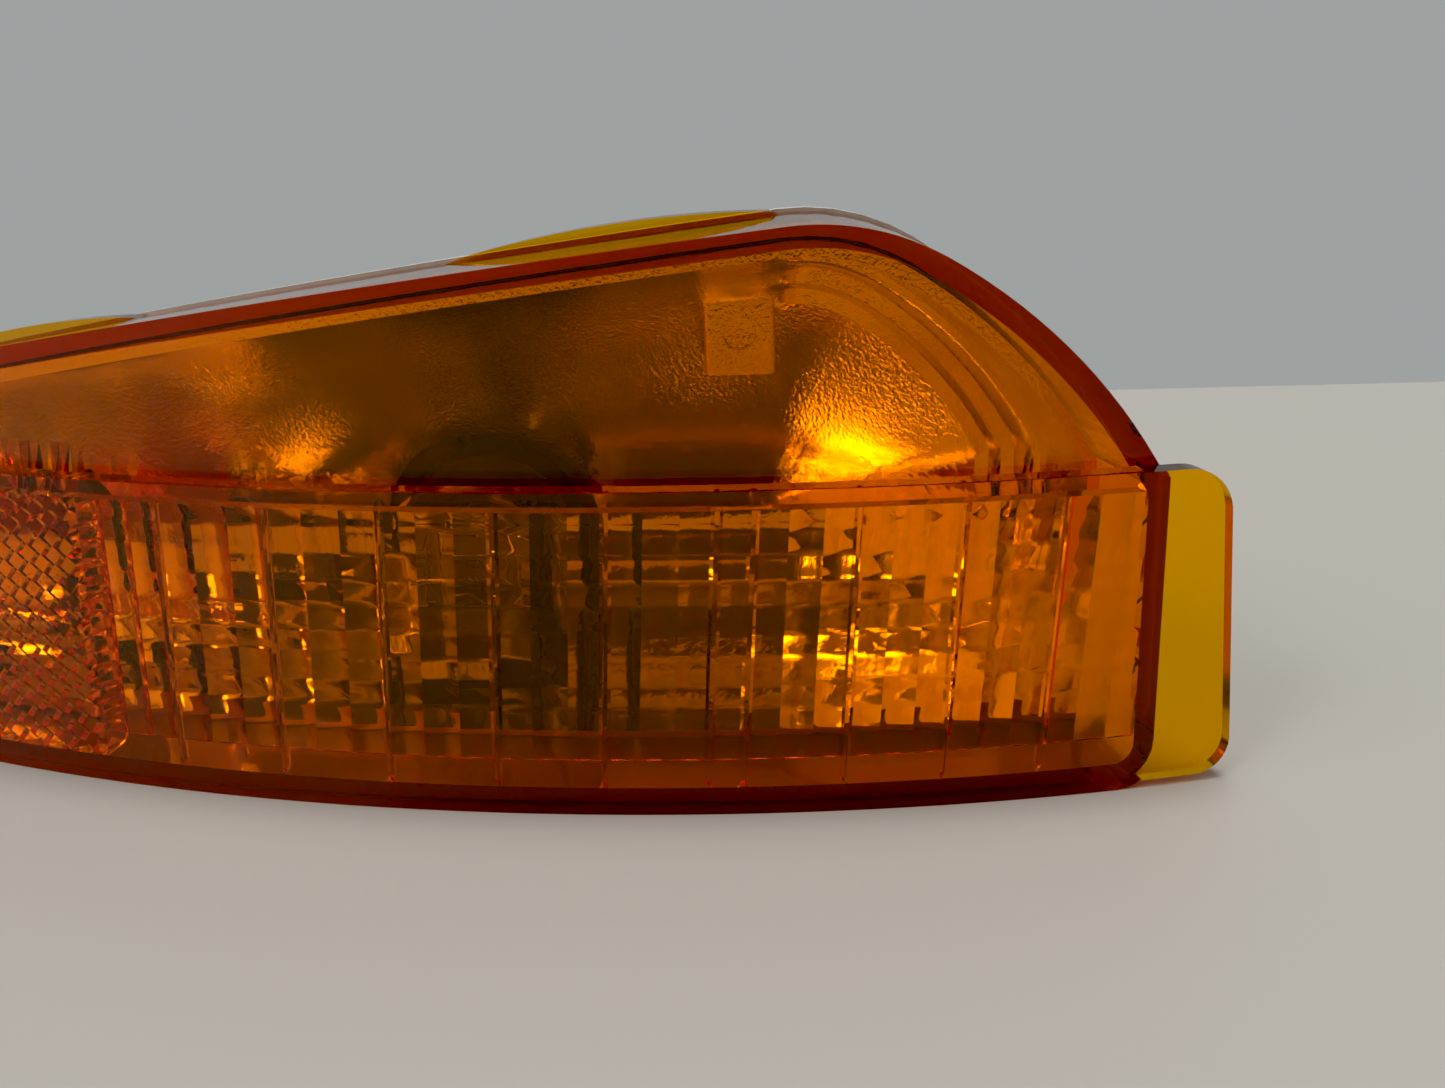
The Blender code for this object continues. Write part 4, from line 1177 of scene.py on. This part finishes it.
def make_bulb_base(place, body):
    """The wedge base, with a lip under the glass, clip grooves and slots down its faces."""
    half_x, half_y, low, high = MAIN_BASE
    lip_x, lip_y, lip_high = MAIN_BASE_LIP
    base = placed(centred_box(half_x, half_y, low, high, 0.9), place)
    lip = placed(centred_box(lip_x, lip_y, low, lip_high, 1.6), place)
    combine(base, "UNION", [bevel(lip, 0.3)])
    cuts = []
    for end in (-half_x, half_x):
        cuts.append(box_shape((end - 0.7, -2.2, -5.5), (end + 0.7, 2.2, -3.5)))
        face = math.copysign(half_y, end)
        for x in (-5.0, 0.0, 5.0):
            cuts.append(box_shape((x - 0.9, face - 0.45, -9.5), (x + 0.9, face + 0.45, 2.0)))
    combine(base, "DIFFERENCE", [placed(cut, place) for cut in cuts])
    bevel(base, 0.15, 1)
    finish_piece(base, "main_bulb_base", "moulding", body, "bulb_base")


def make_unit(unit, place, socket, contacts, bulb, filaments):
    """All that turns with one socket: its gasket, terminals and bulb."""
    body = f"{unit}_light"
    make_socket(f"{unit}_socket", place, socket, body)
    make_gasket(f"{unit}_socket_gasket", place, socket, body)
    make_terminals([f"{unit}_terminal_{contact}" for contact in contacts], place, socket, body)
    make_bulb_glass(f"{unit}_bulb_glass", place, bulb, body)
    for kind, size in filaments:
        leads = (f"{kind}_lead_outboard", f"{kind}_lead_inboard")
        make_filament(f"{kind}_filament", leads, place, size, bulb.base, body)


# ---- fastenings and vent

WASHER_LIFT = 2.5
WASHER_RADIUS = 6.0
WASHER_THICK = 1.2
NUT_ACROSS_FLATS = 8.0
NUT_HEIGHT = 4.0
NUT_THREAD_ROOM = 0.14
THREAD_STEPS = 6


def threaded_shape(radius, low, high, plain_to, chamfer, sides=36):
    """A rod with a right-hand thread above plain_to, narrowed at its top by a chamfer."""
    count = round((high - low) / THREAD_PITCH * THREAD_STEPS)
    rings = []
    for i in range(count + 1):
        z = low + (high - low) * i / count
        ring = []
        for k in range(sides):
            angle = 2.0 * math.pi * k / sides
            phase = (z / THREAD_PITCH - k / sides) % 1.0
            tooth = abs(2.0 * phase - 1.0) * THREAD_DEPTH * ease((z - plain_to) / THREAD_PITCH)
            reach = min(radius - tooth, radius - chamfer + (high - z))
            ring.append((reach * math.cos(angle), reach * math.sin(angle), z))
        rings.append(ring)
    return loft_shape(rings)


def make_fastening(side, place):
    stud = placed(threaded_shape(STUD_RADIUS, -STUD_COLLAR_TOP - 1.0, STUD_PROUD, -1.0, 0.6), place)
    collar = turned_shape((
        (0.0, -STUD_COLLAR_TOP - GAP),
        (STUD_COLLAR_RADIUS, -STUD_COLLAR_TOP - GAP),
        (STUD_COLLAR_RADIUS, -STUD_BURIED),
        (0.0, -STUD_BURIED),
    ))
    combine(stud, "UNION", [placed(collar, place)])
    finish_piece(stud, f"stud_{side}", "threaded", "root", "plated_steel")

    hole = STUD_RADIUS + GAP
    top = WASHER_LIFT + WASHER_THICK
    washer = placed(turned_shape((
        (hole, WASHER_LIFT), (hole, top), (WASHER_RADIUS - 0.25, top),
        (WASHER_RADIUS, top - 0.25), (WASHER_RADIUS, WASHER_LIFT + 0.15), (WASHER_RADIUS - 0.15, WASHER_LIFT),
    ), 64), place)
    finish_piece(washer, f"washer_{side}", "disc", f"{side}_washer", "plated_steel")

    low = top + GAP
    high = low + NUT_HEIGHT
    corner = NUT_ACROSS_FLATS / 2 / math.cos(math.radians(30.0))
    nut = placed(rod_shape(corner, low, high, sides=6), place)
    flat = NUT_ACROSS_FLATS / 2
    chamfers = turned_shape((
        (0.0, high), (flat - 0.15, high), (flat + 1.0, high - 0.66),
        (flat + 1.0, low + 0.66), (flat - 0.15, low), (0.0, low),
    ), 72)
    combine(nut, "INTERSECT", [placed(chamfers, place)])
    thread = threaded_shape(STUD_RADIUS + NUT_THREAD_ROOM, low - 2.0, high + 2.0, low - 4.0, 0.0)
    sink = turned_shape(((0.0, high + 0.1), (3.0, high + 0.1), (2.2, high - 0.7), (0.0, high - 0.7)))
    combine(nut, "DIFFERENCE", [placed(thread, place), placed(sink, place)])
    finish_piece(nut, f"nut_{side}", "hex", f"{side}_nut", "plated_steel", 25.0)


def make_vent():
    """The breather's rubber cap with its grip lines, standing clear of the foam disc under it."""
    foam_high = GAP + 1.0
    top = foam_high + 1.7
    inner = VENT_TUBE_RADIUS + GAP
    profile = [(0.0, top), (VENT_CAP_RADIUS - 1.0, top), (VENT_CAP_RADIUS - 0.3, top - 0.3)]
    profile.append((VENT_CAP_RADIUS, top - 1.0))
    for k in range(3):
        z = top - 2.0 - 1.4 * k
        profile += [
            (VENT_CAP_RADIUS, z), (VENT_CAP_RADIUS - 0.35, z - 0.2),
            (VENT_CAP_RADIUS - 0.35, z - 0.5), (VENT_CAP_RADIUS, z - 0.7),
        ]
    profile += [(VENT_CAP_RADIUS, -4.7), (VENT_CAP_RADIUS - 0.3, -5.0), (inner, -5.0)]
    profile += [(inner, foam_high + GAP), (0.0, foam_high + GAP)]
    cap = placed(turned_shape(profile), VENT_PLACE)
    finish_piece(cap, "vent_cap", "boot", "root", "rubber")


# ---- camera, stage and light

CAMERA_BACK = 150.0
CAMERA_HEIGHT = 77.8
CAMERA_PITCH = 17.2
CAMERA_ROLL = 1.4
FOCAL_LENGTH = 37.370242
TABLE_DEPTH = 226.0


def make_camera():
    data = bpy.data.cameras.new("camera")
    data.sensor_width = 36.0
    data.lens = FOCAL_LENGTH
    data.clip_start = 0.005
    camera = bpy.data.objects.new("camera", data)
    bpy.context.scene.collection.objects.link(camera)
    place = Vector((FRONT_X - BEND_CENTRE_U, FRONT_Y - CAMERA_BACK, CAMERA_HEIGHT)) * MM
    camera.matrix_world = Matrix.Translation(place) @ turned(90.0 - CAMERA_PITCH, "X") @ turned(-CAMERA_ROLL)
    bpy.context.scene.camera = camera


def make_stage():
    n = Surface("table_top")
    n.set({"Base Color": (0.56, 0.535, 0.495, 1.0), "Roughness": 0.45})
    table = mesh_from(box_shape((-2500.0, -1500.0, -20.0), (2500.0, FRONT_Y + TABLE_DEPTH, -0.02)))
    floor = add_object("floor", table, [n.material])


def sky_glow(n, towards, inner, outer, strength, colour):
    """Light from round the direction towards, full within inner degrees and none past outer."""
    inputs = {0: n.coordinates["Generated"], 1: towards}
    facing = n.add("ShaderNodeVectorMath", inputs, operation="DOT_PRODUCT").outputs["Value"]
    edges = (math.cos(math.radians(outer)), math.cos(math.radians(inner)))
    share = n.spread(facing, *edges, 0.0, strength, interpolation_type="SMOOTHSTEP")
    return n.add("ShaderNodeVectorMath", {0: colour, "Scale": share}, operation="SCALE").outputs["Vector"]


def heading(azimuth, elevation):
    """The direction at an azimuth, where 0 is +Y and 90 is +X, and an elevation."""
    around = math.radians(azimuth)
    up = math.radians(elevation)
    return (math.sin(around) * math.cos(up), math.cos(around) * math.cos(up), math.sin(up))


SKY = (
    (heading(0.0, 90.0), 6.0, 16.0, 12.3, (1.0, 0.985, 0.95)),
    (heading(0.0, 8.0), 45.0, 118.0, 0.34, (0.97, 1.03, 1.02)),
    (heading(-138.0, 40.0), 2.5, 9.5, 9.0, (1.0, 0.98, 0.95)),
    (heading(161.0, 59.0), 2.0, 7.5, 2.5, (1.0, 0.98, 0.95)),
    (heading(-118.0, 28.0), 8.0, 36.0, 0.9, (1.0, 0.98, 0.95)),
)
SKY_BASE = (0.022, 0.023, 0.025)
# What the camera itself sees behind the table, on every side.
BACKDROP = (0.352, 0.373, 0.372, 1.0)


def make_light():
    world = bpy.data.worlds.new("studio")
    world.use_nodes = True
    n = Nodes(world.node_tree)
    total = SKY_BASE
    for glow in SKY:
        inputs = {0: sky_glow(n, *glow), 1: total}
        total = n.add("ShaderNodeVectorMath", inputs, operation="ADD").outputs["Vector"]
    seen = n.mix(n.add("ShaderNodeLightPath").outputs["Is Camera Ray"], total, BACKDROP)
    n.feed(world.node_tree.nodes["Background"].inputs["Color"], seen)
    bpy.context.scene.world = world


BLACK_LEVEL = (0.016, 0.018, 0.020)


def set_light_paths():
    """Enough bounces for light that runs on through the lens walls, shown in plain colours."""
    scene = bpy.context.scene
    scene.view_settings.view_transform = "Standard"
    scene.view_settings.use_curve_mapping = True
    scene.view_settings.curve_mapping.black_level = BLACK_LEVEL
    scene.cycles.max_bounces = 24
    scene.cycles.transmission_bounces = 24
    scene.cycles.glossy_bounces = 10
    scene.cycles.diffuse_bounces = 3


set_light_paths()
make_lens()
make_housing()
filaments = (("turn", TURN_FILAMENT), ("park", PARK_FILAMENT))
make_unit("main", MAIN_PLACE, MAIN_SOCKET, ("turn", "park", "ground"), MAIN_BULB, filaments)
make_bulb_base(MAIN_PLACE, "main_light")
filaments = (("marker", MARKER_FILAMENT),)
make_unit("marker", MARKER_PLACE, MARKER_SOCKET, ("feed", "ground"), MARKER_BULB, filaments)
make_fastening("inboard", INNER_STUD_PLACE)
make_fastening("outboard", OUTER_STUD_PLACE)
make_vent()
dress("lens_seal", "sealant")
dress("vent_foam", "foam")
make_camera()
make_stage()
make_light()
